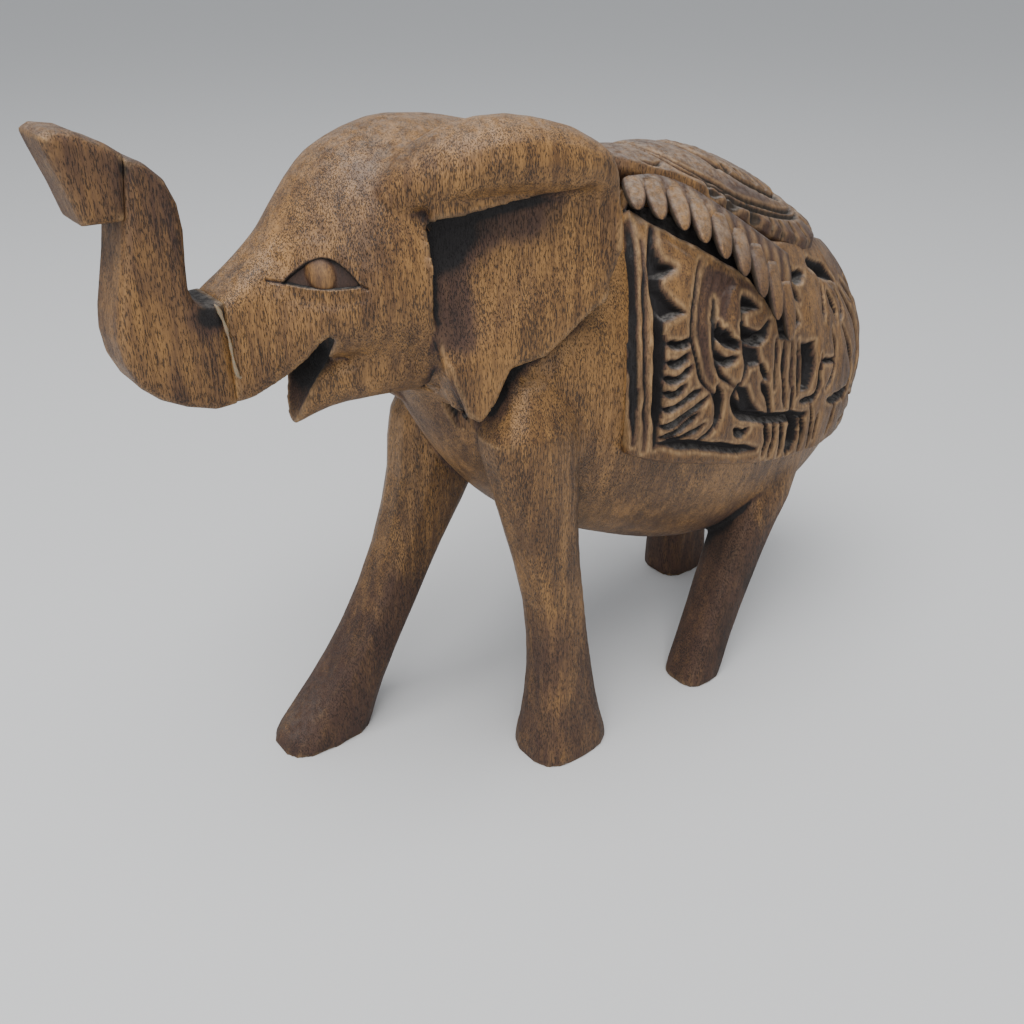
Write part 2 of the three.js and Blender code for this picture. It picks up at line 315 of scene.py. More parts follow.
def store(mesh, name, values):
    """Keeps one number for each point, for the materials to read."""
    layer = mesh.attributes.get(name) or mesh.attributes.new(name, "FLOAT", "POINT")
    layer.data.foreach_set("value", np.asarray(values, np.float32))


def curvature(points, normals, edges):
    """Hollows and edges at a fine and a broad scale: positive in a recess, in millimetres."""
    fine = smoothed(points, edges, 4, False)
    broad = smoothed(fine, edges, 26, False)
    near = ((fine - points) * normals).sum(1)
    wide = ((broad - points) * normals).sum(1)
    return near, wide


# Directions to look out in, as (tilt from the normal, turn round it) in degrees.
LOOKS = [(0.0, 0.0)] + [(50.0, 72.0 * k) for k in range(5)] + [(25.0, 120.0 * k) for k in range(3)]
LOOK_REACH = 22.0
LOOK_START = 0.4


def shade_by_reach(points, normals, tree):
    """How closed in each point is, from 0 for open to 1, by looking out along a few rays."""
    closed = np.zeros(len(points))
    starts = points + normals * LOOK_START
    for i, (p, n) in enumerate(zip(starts, normals)):
        normal = Vector(n)
        if normal.length < 0.5:
            continue
        side = normal.orthogonal().normalized()
        other = normal.cross(side)
        start = Vector(p)
        blocked = 0.0
        for tilt, turn in LOOKS:
            a, b = math.radians(tilt), math.radians(turn)
            ray = normal * math.cos(a) + (side * math.cos(b) + other * math.sin(b)) * math.sin(a)
            hit = tree.ray_cast(start, ray, LOOK_REACH)
            if hit[0] is not None:
                blocked += 1 - 0.6 * hit[3] / LOOK_REACH
            # A ray that reaches the floor counts half, which paints shade near the floor.
            elif ray.z < -0.05 and start.z < LOOK_REACH * -ray.z:
                blocked += 0.5  # the floor
        closed[i] = blocked / len(LOOKS)
    return closed


def tree_of(points, mesh):
    faces = [tuple(f.vertices) for f in mesh.polygons]
    return BVHTree.FromPolygons([Vector(p) for p in points], faces)


def gouge_marks(points, size, depth):
    """Shallow scoops left by the chisel, longer along the grain."""
    marks = np.empty(len(points))
    for i, (x, t, z) in enumerate(points):
        spots, _ = noise.voronoi((x / size, t / size, z / (1.9 * size)))
        marks[i] = min(spots[0], 0.8) ** 2 - 0.22
    return marks * depth


def finish_piece(piece, nodes, material):
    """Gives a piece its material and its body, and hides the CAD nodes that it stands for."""
    piece.data.materials.clear()
    piece.data.materials.append(material)
    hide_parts(*nodes)
    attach(piece, "root")


# ------------------------------------------------------------------ body surface


def body_shell():
    """The torso as a smooth surface, for the block and for the saddle to lie on."""
    shell = node_copy("torso", 0.12, True)
    change = shell.modifiers.new("Round", "SUBSURF")
    change.levels = change.render_levels = 2
    settled(shell)
    points = to_millimetres(shell.data)
    put_points(shell.data, smoothed(points, edges_of(shell.data), 12))
    return shell


def body_tree(height):
    """The body surface pushed out by a height, for rays to land on."""
    shell = body_shell()
    points = to_millimetres(shell.data) + normals_of(shell.data) * height
    tree = tree_of(points, shell.data)
    drop(shell)
    return tree


class Wrap:
    """Finds places on the grown body from a side view: how far back, and how high up."""

    MIDDLE = 82.0

    def __init__(self, height):
        self.tree = body_tree(height)
        self.backs = np.linspace(86, 208, 62)
        self.angles = np.radians(np.linspace(-62, 89, 76))
        self.heights = np.array([[self.cast(b, a)[0][2] for a in self.angles] for b in self.backs])
        self.heights = np.maximum.accumulate(self.heights, axis=1)

    def cast(self, back, angle):
        turn = max(0.0, back - WRAP_FROM) / WRAP_RADIUS
        middle = self.MIDDLE - 6 * min(1.0, turn)
        start = Vector((0, min(back, WRAP_FROM), middle))
        flat = Vector((math.cos(turn), math.sin(turn), 0))
        ray = flat * math.cos(angle) + Vector((0, 0, math.sin(angle)))
        hit = self.tree.ray_cast(start, ray)
        if hit[0] is None:
            return start + ray * 40, ray
        return hit[0], hit[1]

    def place(self, backs, ups):
        """Surface points for arrays of side-view places."""
        found = np.empty((len(backs), 3))
        last = len(self.backs) - 1.001
        for i, (back, up) in enumerate(zip(backs, ups)):
            f = np.clip(np.interp(back, self.backs, np.arange(len(self.backs))), 0, last)
            k = int(f)
            row = self.heights[k] * (1 - f + k) + self.heights[k + 1] * (f - k)
            found[i] = self.cast(back, float(np.interp(up, row, self.angles)))[0]
        return found

    def grid(self, places):
        """Surface points and outward normals for a grid of side-view places."""
        back, up = places[..., 0], places[..., 1]
        base = self.place(back.ravel(), up.ravel()).reshape(back.shape + (3,))
        return base, grid_normals(base)


def grid_normals(points):
    """Outward normals of a grid of points, pointing away from the body's middle line."""
    down = np.gradient(points, axis=0)
    across = np.gradient(points, axis=1)
    normal = np.cross(down, across)
    normal /= np.linalg.norm(normal, axis=2, keepdims=True).clip(1e-9)
    out = points - [0, 125, 75]
    flip = (normal * out).sum(axis=2).mean()
    return normal if flip > 0 else -normal


def patch(bottom, top, front, rear, columns, rows):
    """A grid of side-view places between four edges, each given as (back, up) points."""
    b, t = rounded(bottom, columns), rounded(top, columns)
    f, r = rounded(front, rows), rounded(rear, rows)
    u = np.linspace(0, 1, columns)[None, :, None]
    v = np.linspace(0, 1, rows)[:, None, None]
    ruled = (1 - v) * b[None] + v * t[None] + (1 - u) * f[:, None] + u * r[:, None]
    corners = (1 - u) * (1 - v) * b[0] + u * (1 - v) * b[-1] + (1 - u) * v * t[0] + u * v * t[-1]
    return ruled - corners


def thin_shell(name, outer, under, values, mirror=False):
    """A closed skin from a carved outer grid. under is the smooth grid that its back follows."""
    rows, columns = outer.shape[:2]
    ring = [(0, j) for j in range(columns)]
    ring += [(i, columns - 1) for i in range(1, rows)]
    ring += [(rows - 1, j) for j in range(columns - 2, -1, -1)]
    ring += [(i, 0) for i in range(rows - 2, 0, -1)]
    ring = np.array(ring, float)
    middle = np.array([(rows - 1) / 2, (columns - 1) / 2])
    points = [outer.reshape(-1, 3)]
    marks = [np.column_stack([v.ravel() for v in values])]
    index = np.arange(rows * columns).reshape(rows, columns)
    quads = np.stack([index[:-1, :-1], index[:-1, 1:], index[1:, 1:], index[1:, :-1]], -1)
    faces = quads.reshape(-1, 4).tolist()
    last = index[tuple(ring.astype(int).T)]
    total = rows * columns
    for share in (1.0, 0.93, 0.8, 0.62, 0.42, 0.2):
        at = middle + (ring - middle) * share
        i, j = np.floor(at).astype(int).T
        i, j = i.clip(0, rows - 2), j.clip(0, columns - 2)
        p, q = (at[:, 0] - i)[:, None], (at[:, 1] - j)[:, None]
        low = under[i, j] * (1 - q) + under[i, j + 1] * q
        high = under[i + 1, j] * (1 - q) + under[i + 1, j + 1] * q
        points.append(low * (1 - p) + high * p)
        marks.append(np.zeros((len(ring), len(values))))
        fresh = np.arange(total, total + len(ring))
        total += len(ring)
        faces += strip_faces(fresh, last)
        last = fresh
    points.append(under[rows // 2, columns // 2][None])
    marks.append(np.zeros((1, len(values))))
    faces += fan_faces(last, total)
    points, marks = np.vstack(points), np.vstack(marks)
    if mirror:
        points = points * [-1, 1, 1]
    piece = new_object(name, points, faces)
    point_out(piece)
    store(piece.data, "stain_and_shade_level", marks[:, 0])
    store(piece.data, "edge", marks[:, 1])
    return piece


def point_out(piece):
    """Turns every face outwards, judged by the sign of the volume."""
    bm = bmesh.new()
    bm.from_mesh(piece.data)
    bmesh.ops.recalc_face_normals(bm, faces=bm.faces)
    if bm.calc_volume(signed=True) < 0:
        bmesh.ops.reverse_faces(bm, faces=bm.faces)
    bm.to_mesh(piece.data)
    bm.free()


# ------------------------------------------------------------------ carving in relief


class Relief:
    """Collects cuts and raised forms over places (p, q) and turns them into heights."""

    def __init__(self, p, q):
        self.p, self.q = p, q
        self.cuts = np.zeros(p.shape)
        self.raised = np.zeros(p.shape)
        self.open = np.full(p.shape, 9.0)

    def groove(self, line, width, depth, taper=0.2):
        """A cut along a line, that runs out at both ends."""
        d, share = from_line(self.p, self.q, rounded(line, 6 * len(line)))
        ends = ease(np.minimum(share, 1 - share) / max(taper, 1e-3))
        half = width / 2 * (0.45 + 0.55 * ends)
        deep = 1.25 * depth * (0.25 + 0.75 * ends) * ease(1 - d / (2 * half)) ** 0.9
        self.cuts = np.maximum(self.cuts, deep)
        self.open = np.minimum(self.open, (d - half).clip(0))

    def pit(self, outline, depth, wall=0.9):
        """A hole with steep walls inside an outline."""
        d = inside(self.p, self.q, outline)
        self.cuts = np.maximum(self.cuts, depth * ease((d + 0.25) / wall))
        self.open = np.minimum(self.open, (-d).clip(0))

    def flute(self, line, width, depth):
        """A soft round channel, that doesn't count as a sharp cut."""
        d, share = from_line(self.p, self.q, rounded(line, 6 * len(line)))
        ends = ease(np.minimum(share, 1 - share) / 0.12)
        round_cut = np.sqrt((1 - (d / (width / 2)) ** 2).clip(0))
        self.raised -= depth * ends * round_cut

    def ridge(self, line, width, height):
        d, share = from_line(self.p, self.q, rounded(line, 6 * len(line)))
        ends = ease(np.minimum(share, 1 - share) / 0.08)
        self.raised += height * ends * ease(1 - d / width)

    def plate(self, outline, height, soft=1.0):
        """Raises or sinks a whole area."""
        self.raised += height * ease(inside(self.p, self.q, outline) / soft + 0.5)

    def heights(self, pillow):
        """Heights, with every form between the cuts swelling a little like a pillow."""
        swell = pillow * (1 - np.exp(-self.open / 1.5))
        return self.raised + swell - self.cuts


# ------------------------------------------------------------------ saddle cloth, side view

CLOTH_FRONT = [
    (92.2, 75.8), (92, 82), (92, 90), (92.6, 99.5), (94.4, 108), (96.4, 115), (99.4, 120.6),
]
CLOTH_BOTTOM = [
    (92.2, 75.8), (101, 71.6), (114.6, 67.2), (124.5, 64.2), (136, 60.9), (148.6, 58.7),
    (165, 57), (185, 56.8), (206.5, 57.5),
]
CLOTH_TOP = [
    (99.4, 120.6), (104.5, 125), (112, 123.6), (117.5, 121.2), (122.5, 117.8), (134, 111.4),
    (149.5, 107.6), (165, 106.6), (185, 104.4), (206.5, 100),
]
CLOTH_REAR = [(206.5, 57.5), (206.5, 70), (206.5, 84), (206.5, 100)]

# Sharp cuts of the saddle cloth, front to rear: line, width, depth.
CLOTH_GROOVES = [
    ([(98.5, 119.5), (96, 113), (94, 105), (93, 97), (92.9, 88), (93.3, 78)], 0.9, 0.9),
    ([(99.5, 116), (96.6, 106.5), (95.3, 97.5), (95.3, 87.5), (96, 76)], 0.5, 0.4),
    (
        [(103, 117.5), (101, 113.5), (99.8, 108), (99, 100), (98.4, 91), (98.4, 83), (99, 76.5)],
        1.5, 1.7,
    ),
    ([(99.5, 77), (104, 75.4), (111, 73), (119, 70.2), (130, 66.6)], 1.1, 1.2),
    ([(100.6, 97.4), (103, 96.6), (105.4, 96.6), (107, 97.4)], 1.0, 1.3),
    ([(100.2, 94), (102.4, 93.1), (104.6, 93.4), (106.2, 94.6)], 0.8, 1.0),
    ([(99.8, 91), (102.4, 90), (104.6, 90.4), (106.6, 92)], 0.9, 1.2),
    ([(99.6, 88), (102.2, 87), (105.2, 88.2)], 0.8, 1.1),
    ([(99.5, 84.6), (102.4, 84), (105.4, 85.2), (109.6, 86.4)], 0.8, 1.1),
    ([(99.5, 80.8), (102.6, 80.4), (106.4, 81.8), (111.6, 84.4)], 0.9, 1.2),
    ([(99.8, 78.3), (103.2, 78.4), (106.6, 79.8), (109, 81.3)], 0.8, 1.1),
    ([(100.6, 77), (104.5, 76.7), (108.4, 77.3), (111, 78.4)], 0.7, 0.9),
    (
        [(113, 110.5), (110, 106), (107.6, 100.5), (107.5, 96), (108.5, 91.5), (110, 88), (112.5, 85)],
        0.7, 0.8,
    ),
    ([(112.4, 85), (114.6, 81.6), (114.9, 78), (112.6, 75.2), (109, 73.8)], 0.7, 0.8),
    ([(114.6, 85.5), (115.4, 81), (115.2, 76.5)], 1.3, 1.5),
    ([(115.5, 103), (114.1, 98), (114, 93), (115.6, 88), (119.6, 84.6)], 0.6, 0.7),
    ([(123, 101.5), (122.5, 97), (122.5, 92), (123.2, 88), (121.6, 84.4)], 0.7, 0.9),
    ([(115.4, 98.2), (115.9, 96), (118, 94), (120.8, 93.4)], 1.3, 1.6),
    ([(114.4, 93), (115, 91.4), (117.1, 90.3), (120.2, 90.5)], 0.9, 1.3),
    ([(121.8, 97), (123, 94.6), (126.5, 93), (129.2, 93), (131.2, 95)], 1.6, 2.0),
    (
        [
            (121.2, 84.6), (119.5, 81.5), (122.3, 78), (127, 75.5), (133.5, 73.2), (141.5, 71.2),
            (147.8, 69.8),
        ],
        1.4, 1.6,
    ),
    ([(134, 91), (134, 86.5), (133.4, 80.5)], 0.8, 1.1),
    ([(137, 89.5), (136.6, 83.5), (138.2, 75)], 0.8, 1.1),
    ([(139.7, 89), (139.9, 79)], 0.7, 1.0),
    ([(142.6, 88), (142.9, 76)], 0.8, 1.1),
    ([(129, 83), (131.4, 78.5), (133.2, 74)], 0.8, 1.1),
    ([(128, 87), (131, 83)], 0.9, 0.9),
    ([(140.5, 78.5), (141.3, 72)], 0.8, 1.0),
    ([(131.5, 73), (133.3, 68), (133, 64.2)], 0.8, 1.2),
    ([(135, 71.6), (136, 67), (135.8, 62.8)], 0.8, 1.2),
    ([(138.2, 71), (139.4, 65.8), (139.5, 62)], 0.8, 1.2),
    ([(142, 70.4), (142.8, 65.8), (143.4, 61)], 1.6, 1.9),
    ([(155.4, 67.4), (156, 61.6)], 0.9, 1.2),
    ([(142.1, 103.4), (143.8, 101.4), (147.2, 101)], 1.4, 1.6),
    ([(153, 102.6), (162, 100), (170.2, 98.4), (174.6, 95.8)], 1.8, 1.9),
    ([(158.6, 96.8), (157.3, 93.8), (156.2, 90.7)], 1.3, 1.5),
    ([(162.3, 94.8), (165.4, 91.3), (165.8, 88.3)], 1.4, 1.6),
    ([(172.1, 93.6), (172.8, 90), (169.4, 87.6)], 1.1, 1.4),
    ([(153.5, 82.4), (152.6, 75.3), (149.7, 71.8)], 1.1, 1.4),
    ([(161.9, 86.4), (163.4, 80.9), (161.6, 76.5), (157.1, 74.2)], 1.0, 1.3),
    ([(170.7, 85.7), (174.8, 79.1), (177.8, 72.2), (174, 67.3)], 1.1, 1.4),
    ([(160.6, 70.5), (168.9, 68.8), (176.5, 68.7)], 1.5, 1.6),
    ([(142.2, 71), (144.1, 66.8), (144.9, 61.6)], 1.7, 2.0),
    ([(145.8, 70.5), (147.9, 65.6), (148.3, 60)], 0.9, 1.3),
    ([(149.9, 70.9), (152.5, 65.1), (153.1, 59.6)], 1.0, 1.3),
    ([(167, 67.2), (167.1, 63.9), (165.6, 59.9)], 1.0, 1.2),
    ([(117.4, 96.6), (118.4, 94.1), (121, 92.6)], 1.2, 1.5),
    ([(138, 102), (139.2, 98.6)], 0.6, 0.9),
    ([(140.8, 100.8), (143.8, 96.6)], 0.7, 1.0),
    ([(154, 81.2), (163.4, 79.4)], 0.7, 0.9),
    ([(145, 74), (150, 73.2), (154, 76)], 0.9, 1.0),
    ([(121.3, 74.2), (123.5, 72.3), (125.8, 72.8)], 1.1, 1.4),
]
# Round the rump, where the cloth runs back to the tail.
RUMP_GROOVES = [
    ([(203.6, 95), (203.2, 80), (203.6, 60)], 0.9, 1.0),
    ([(199.6, 95), (198.8, 80), (199.4, 61)], 1.4, 1.5),
    ([(176, 60.4), (188, 60.4), (199, 61.4)], 0.9, 1.0),
    ([(182, 94), (187, 88), (189, 80), (187, 72)], 1.0, 1.2),
    ([(177, 93.6), (182, 86), (184, 78), (181, 70)], 0.8, 1.0),
    ([(189, 93), (193, 86), (194.6, 78), (193, 68)], 1.2, 1.3),
    ([(186, 66), (191, 64.4), (197, 66)], 1.0, 1.1),
    ([(180, 66.4), (184, 63.6), (190, 62.8)], 0.8, 1.0),
    ([(195.4, 90), (198, 88.4)], 0.8, 1.0),
    ([(195.6, 84), (198.4, 82.6)], 0.8, 1.0),
    ([(195.4, 78), (198.2, 76.6)], 0.8, 1.0),
    ([(194.8, 72), (197.8, 70.6)], 0.8, 1.0),
]
# Deep holes between the leaves: outline, depth.
CLOTH_PITS = [
    ([(102, 116), (100.4, 112.5), (99.4, 109.6), (102, 109.4), (105.8, 110.4), (102.8, 112)], 2.2),
    ([(99.8, 108.6), (101, 107.4), (102.6, 105.2), (106, 102.4), (101, 101.8), (99.2, 103.5)], 2.0),
    ([(123.3, 102.2), (125.6, 101), (128.4, 98.8), (123, 99)], 2.2),
    ([(122.6, 92.3), (127, 90.8), (128, 87.6), (124, 87.6)], 1.3),
    ([(120.8, 84.4), (123.5, 83), (125.5, 80), (128.5, 76.6), (125.5, 76.6), (121.8, 80)], 1.5),
    ([(144, 87.6), (149.4, 86.6), (150.2, 81), (148.2, 76), (144.4, 76.6), (144.2, 81.5)], 2.4),
    ([(134.8, 99.5), (136, 94.5), (138.6, 90.6), (143.4, 92.2), (140.4, 97)], 2.6),
]
# Deep spaces that the lappets hang over, painted near black as shadow.
CHANNEL = [
    (99.8, 121.6), (104, 118.4), (108.4, 115.8), (113, 113.4), (117.5, 110.8), (121.6, 108.2),
    (126.2, 105.2), (130, 101.2), (133.4, 96.4), (135.4, 90.8), (139, 89.6), (142, 94),
    (139.4, 99), (136, 105.5), (131, 109.5), (124, 114.4), (117, 119.4), (110, 122.6), (104.6, 123.4),
]
CHANNEL_LIP = [
    (100.2, 119.6), (104, 117), (108.4, 114.5), (113, 112.2), (117.5, 109.6), (121.5, 107),
    (126, 104), (129.6, 100), (132.6, 95.5), (134.4, 90.5),
]
# Whole areas that stand higher or lower than the rest: outline, height, softness.
CLOTH_PLATES = [
    (
        [
            (103.4, 116), (108.5, 112.6), (112, 110.6), (109, 104), (107, 98), (108, 90),
            (112, 85), (113.6, 80), (110, 75.5), (100, 77.5), (99.6, 90), (100.4, 108),
        ],
        0.35, 1.0,
    ),
    (
        [
            (113, 110), (121.6, 106), (120.4, 100), (115, 96), (114, 90), (112.8, 86),
            (109.4, 90), (108, 97), (110, 105),
        ],
        -0.35, 0.8,
    ),
    (
        [
            (116, 103), (121, 105), (122.4, 98), (122.2, 90), (121.6, 85), (117, 87),
            (114.6, 92), (114.8, 99),
        ],
        0.25, 1.0,
    ),
    (
        [
            (141, 102), (150, 102), (163, 97.6), (174, 92), (180, 80), (176, 72),
            (163, 69.6), (153, 73), (152, 84), (146, 92),
        ],
        0.4, 2.0,
    ),
]
# Soft raised lines: line, width, height.
CLOTH_RIDGES = [
    (CHANNEL_LIP, 1.2, 0.35),
    ([(98, 113), (97.4, 104), (96.8, 96), (96.8, 86), (97.4, 78)], 1.1, 0.35),
    ([(101, 73.6), (114.6, 69), (124.5, 66), (132, 63.6)], 1.0, 0.25),
    ([(182, 90), (186, 80), (184, 70)], 2.2, 0.4),
    ([(191, 90), (193, 80), (191, 68)], 2.2, 0.4),
]
HAND_WANDER = 0.45  # how far the chisel strays from its line
CUT_STRENGTH = 1.2  # every sharp cut is this much wider and deeper than its table says


def cloth_relief(back, up):
    """The saddle cloth's carving over side-view places."""
    stray_back, stray_up = (noise_over(back, up, 4, 4, layer) for layer in (1.5, 9.5))
    work = Relief(back + HAND_WANDER * stray_back, up + HAND_WANDER * stray_up)
    for line, width, depth in CLOTH_GROOVES + RUMP_GROOVES:
        work.groove(line, CUT_STRENGTH * width, CUT_STRENGTH * depth)
    for outline, depth in CLOTH_PITS:
        work.pit(outline, depth)
    work.pit(CHANNEL, 3.0, 1.2)
    for outline, height, soft in CLOTH_PLATES:
        work.plate(outline, height, soft)
    for shift in (0, 2.5, 5, 7.4):
        top = 108.6 - 0.4 * shift
        bend = [(114.6 + shift, top), (111.8 + 0.9 * shift, 103.5), (110.4 + 0.75 * shift, 98.6)]
        if shift == 0:
            bend += [(111, 93), (112.6, 88.6)]
        work.flute(bend, 2.1, 0.6)
    for line, width, height in CLOTH_RIDGES:
        work.ridge(line, width, height)
    return work


# ------------------------------------------------------------------ shader groups


def group(name, inputs, outputs):
    """An empty shader node group with its sockets, and its input and output nodes."""
    tree = bpy.data.node_groups.new(name, "ShaderNodeTree")
    for label, kind, default in inputs:
        socket = tree.interface.new_socket(label, in_out="INPUT", socket_type="NodeSocket" + kind)
        if default is not None:
            socket.default_value = default
    for label, kind in outputs:
        tree.interface.new_socket(label, in_out="OUTPUT", socket_type="NodeSocket" + kind)
    return tree, tree.nodes.new("NodeGroupInput"), tree.nodes.new("NodeGroupOutput")


def node(tree, kind, **settings):
    made = tree.nodes.new("ShaderNode" + kind)
    for key, value in settings.items():
        setattr(made, key, value)
    return made


def wire(tree, source, target):
    tree.links.new(source, target)


def feed(tree, socket, value):
    """Gives a socket another socket's output, or a plain value."""
    if isinstance(value, bpy.types.NodeSocket):
        wire(tree, value, socket)
    else:
        socket.default_value = value


def mathed(tree, operation, first, second, clamp=False):
    made = node(tree, "Math", operation=operation, use_clamp=clamp)
    for socket, value in zip(made.inputs, (first, second)):
        feed(tree, socket, value)
    return made.outputs[0]


def weighted(tree, *parts):
    """The sum of some sockets, each times its own weight."""
    shares = [mathed(tree, "MULTIPLY", socket, weight) for socket, weight in parts]
    total = shares[0]
    for share in shares[1:]:
        total = mathed(tree, "ADD", total, share)
    return total


def mixed(tree, share, first, second, blend="MIX"):
    """A colour mix. Each of share, first and second is a socket or a plain value."""
    made = node(tree, "Mix", data_type="RGBA", blend_type=blend, clamp_factor=True)
    for number, value in ((0, share), (6, first), (7, second)):
        feed(tree, made.inputs[number], value)
    return made.outputs[2]


def ranged(tree, value, low, high, to_low=0.0, to_high=1.0):
    made = node(tree, "MapRange", clamp=True, interpolation_type="SMOOTHSTEP")
    wire(tree, value, made.inputs[0])
    for socket, number in zip(made.inputs[1:5], (low, high, to_low, to_high)):
        socket.default_value = number
    return made.outputs[0]


def stretched_noise(tree, vector, stretch, scale, detail, rough=0.55):
    place = node(tree, "Mapping")
    place.inputs["Scale"].default_value = (1, 1, stretch)
    wire(tree, vector, place.inputs["Vector"])
    made = node(tree, "TexNoise")
    made.inputs["Scale"].default_value = scale
    made.inputs["Detail"].default_value = detail
    made.inputs["Roughness"].default_value = rough
    wire(tree, place.outputs[0], made.inputs["Vector"])
    return made.outputs["Fac"]


def grain_group():
    """Upright wood grain: broad bands, fine fibres and short open pores."""
    tree, start, end = group(
        "Open wood grain",
        [("Vector", "Vector", None), ("Pores", "Float", 0.5)],
        [("Shade", "Float"), ("Pore", "Float"), ("Height", "Float")],
    )
    vector = start.outputs["Vector"]
    patches = stretched_noise(tree, vector, 0.6, 38, 3)
    bands = stretched_noise(tree, vector, 0.07, 520, 4)
    fibres = stretched_noise(tree, vector, 0.06, 3000, 3, 0.65)
    specks = stretched_noise(tree, vector, 0.15, 5600, 2)
    clumps = stretched_noise(tree, vector, 0.25, 260, 2)
    shade = weighted(tree, (patches, 0.4), (bands, 0.34), (fibres, 0.36))
    wire(tree, ranged(tree, shade, 0.44, 0.66), end.inputs["Shade"])
    pore = ranged(tree, weighted(tree, (specks, 1.0), (clumps, 0.22)), 0.64, 0.72)
    pore = mathed(tree, "MULTIPLY", pore, start.outputs["Pores"], True)
    wire(tree, pore, end.inputs["Pore"])
    wire(tree, weighted(tree, (fibres, 0.5), (pore, -1.0)), end.inputs["Height"])
    return tree


def stain_and_shade_group():
    """Dark antiquing staining that gathers in recesses, with painted shade from the same per-point
    level and near-black painted shadow where it is highest, and lighter rubbed edges.
    """
    tree, start, end = group(
        "Antique stain",
        [
            ("Colour", "Color", (1, 1, 1, 1)),
            ("Stain", "Color", (0.1, 0.05, 0.05, 1)),
            ("Deep", "Color", (0.01, 0.01, 0.01, 1)),
            ("Rubbed", "Color", (0.6, 0.45, 0.3, 1)),
            ("Vector", "Vector", None),
            ("Pore", "Float", 0.0),
            ("Reach", "Float", 0.0),
        ],
        [("Colour", "Color"), ("Roughness", "Float")],
    )
    stain_and_shade_level = node(tree, "Attribute", attribute_name="stain_and_shade_level").outputs["Fac"]
    rim = node(tree, "Attribute", attribute_name="edge").outputs["Fac"]
    vector, base, dark = (start.outputs[label] for label in ("Vector", "Colour", "Deep"))
    blotch = stretched_noise(tree, vector, 0.55, 80, 5, 0.62)
    ragged = stretched_noise(tree, vector, 0.12, 900, 3, 0.6)
    spread = mathed(tree, "SUBTRACT", weighted(tree, (blotch, 1.1), (ragged, 0.45)), 0.775)
    # The per-point level carries both the staining and the painted shade.
    level = weighted(tree, (stain_and_shade_level, 1.0), (spread, 1.0), (start.outputs["Reach"], 1.0))
    colour = mixed(tree, ranged(tree, level, 0.14, 0.62, 0.0, 0.86), base, start.outputs["Stain"])
    colour = mixed(tree, mathed(tree, "MULTIPLY", start.outputs["Pore"], 0.72), colour, dark)
    # Near-black painted shadow where the level is highest: at the bottom of cuts and in the deepest
    # recesses.
    deep = ranged(tree, weighted(tree, (stain_and_shade_level, 1.0), (spread, 0.5)), 0.6, 0.95)
    colour = mixed(tree, deep, colour, dark)
    worn = mathed(tree, "MULTIPLY", rim, ranged(tree, ragged, 0.35, 0.7, 0.25, 0.85), True)
    colour = mixed(tree, worn, colour, start.outputs["Rubbed"])
    wire(tree, colour, end.inputs["Colour"])
    wire(tree, ranged(tree, level, 0.0, 0.8, 0.46, 0.72), end.inputs["Roughness"])
    return tree


def dust_group():
    """Pale dull dust on whatever faces up."""
    tree, start, end = group(
        "Pale dust",
        [
            ("Colour", "Color", (1, 1, 1, 1)),
            ("Dust", "Color", (0.5, 0.46, 0.42, 1)),
            ("Vector", "Vector", None),
            ("Amount", "Float", 0.3),
        ],
        [("Colour", "Color")],
    )
    facing = node(tree, "SeparateXYZ")
    wire(tree, node(tree, "NewGeometry").outputs["Normal"], facing.inputs[0])
    fleck = stretched_noise(tree, start.outputs["Vector"], 0.7, 700, 4, 0.7)
    upward = ranged(tree, facing.outputs["Z"], 0.45, 1.0)
    share = mathed(tree, "MULTIPLY", upward, ranged(tree, fleck, 0.3, 0.7))
    share = mathed(tree, "MULTIPLY", share, start.outputs["Amount"], True)
    dusty = mixed(tree, share, start.outputs["Colour"], start.outputs["Dust"])
    wire(tree, dusty, end.inputs["Colour"])
    return tree


def placed(tree, shared, **values):
    """A shared group placed in a material, with its own values."""
    made = node(tree, "Group")
    made.node_tree = shared
    for label, value in values.items():
        feed(tree, made.inputs[label], value)
    return made


def solid_colour(colour):
    return (*colour, 1.0)


def wood_material(name, groups, light, dark, stain_and_shade, deep, rubbed, pores, reach, dust, bump):
    material = bpy.data.materials.new(name)
    material.use_nodes = True
    tree = material.node_tree
    shader = tree.nodes["Principled BSDF"]
    vector = node(tree, "TexCoord").outputs["Object"]
    grain = placed(tree, groups["grain"], Vector=vector, Pores=pores)
    base = mixed(tree, grain.outputs["Shade"], solid_colour(dark), solid_colour(light))
    stained = placed(
        tree,
        groups["stain_and_shade"],
        Colour=base,
        Stain=solid_colour(stain_and_shade),
        Deep=solid_colour(deep),
        Rubbed=solid_colour(rubbed),
        Vector=vector,
        Pore=grain.outputs["Pore"],
        Reach=reach,
    )
    dusty = placed(tree, groups["dust"], Colour=stained.outputs["Colour"], Vector=vector, Amount=dust)
    wire(tree, dusty.outputs["Colour"], shader.inputs["Base Color"])
    wire(tree, stained.outputs["Roughness"], shader.inputs["Roughness"])
    shader.inputs["Specular IOR Level"].default_value = 0.42
    relief = node(tree, "Bump")
    relief.inputs["Strength"].default_value = bump
    relief.inputs["Distance"].default_value = 0.00016
    wire(tree, grain.outputs["Height"], relief.inputs["Height"])
    wire(tree, relief.outputs["Normal"], shader.inputs["Normal"])
    return material


# ------------------------------------------------------------------ settings


def size_property(label, about, value, least, most):
    return FloatProperty(
        name=label, description=about + ", in millimetres", default=value, min=least, max=most
    )


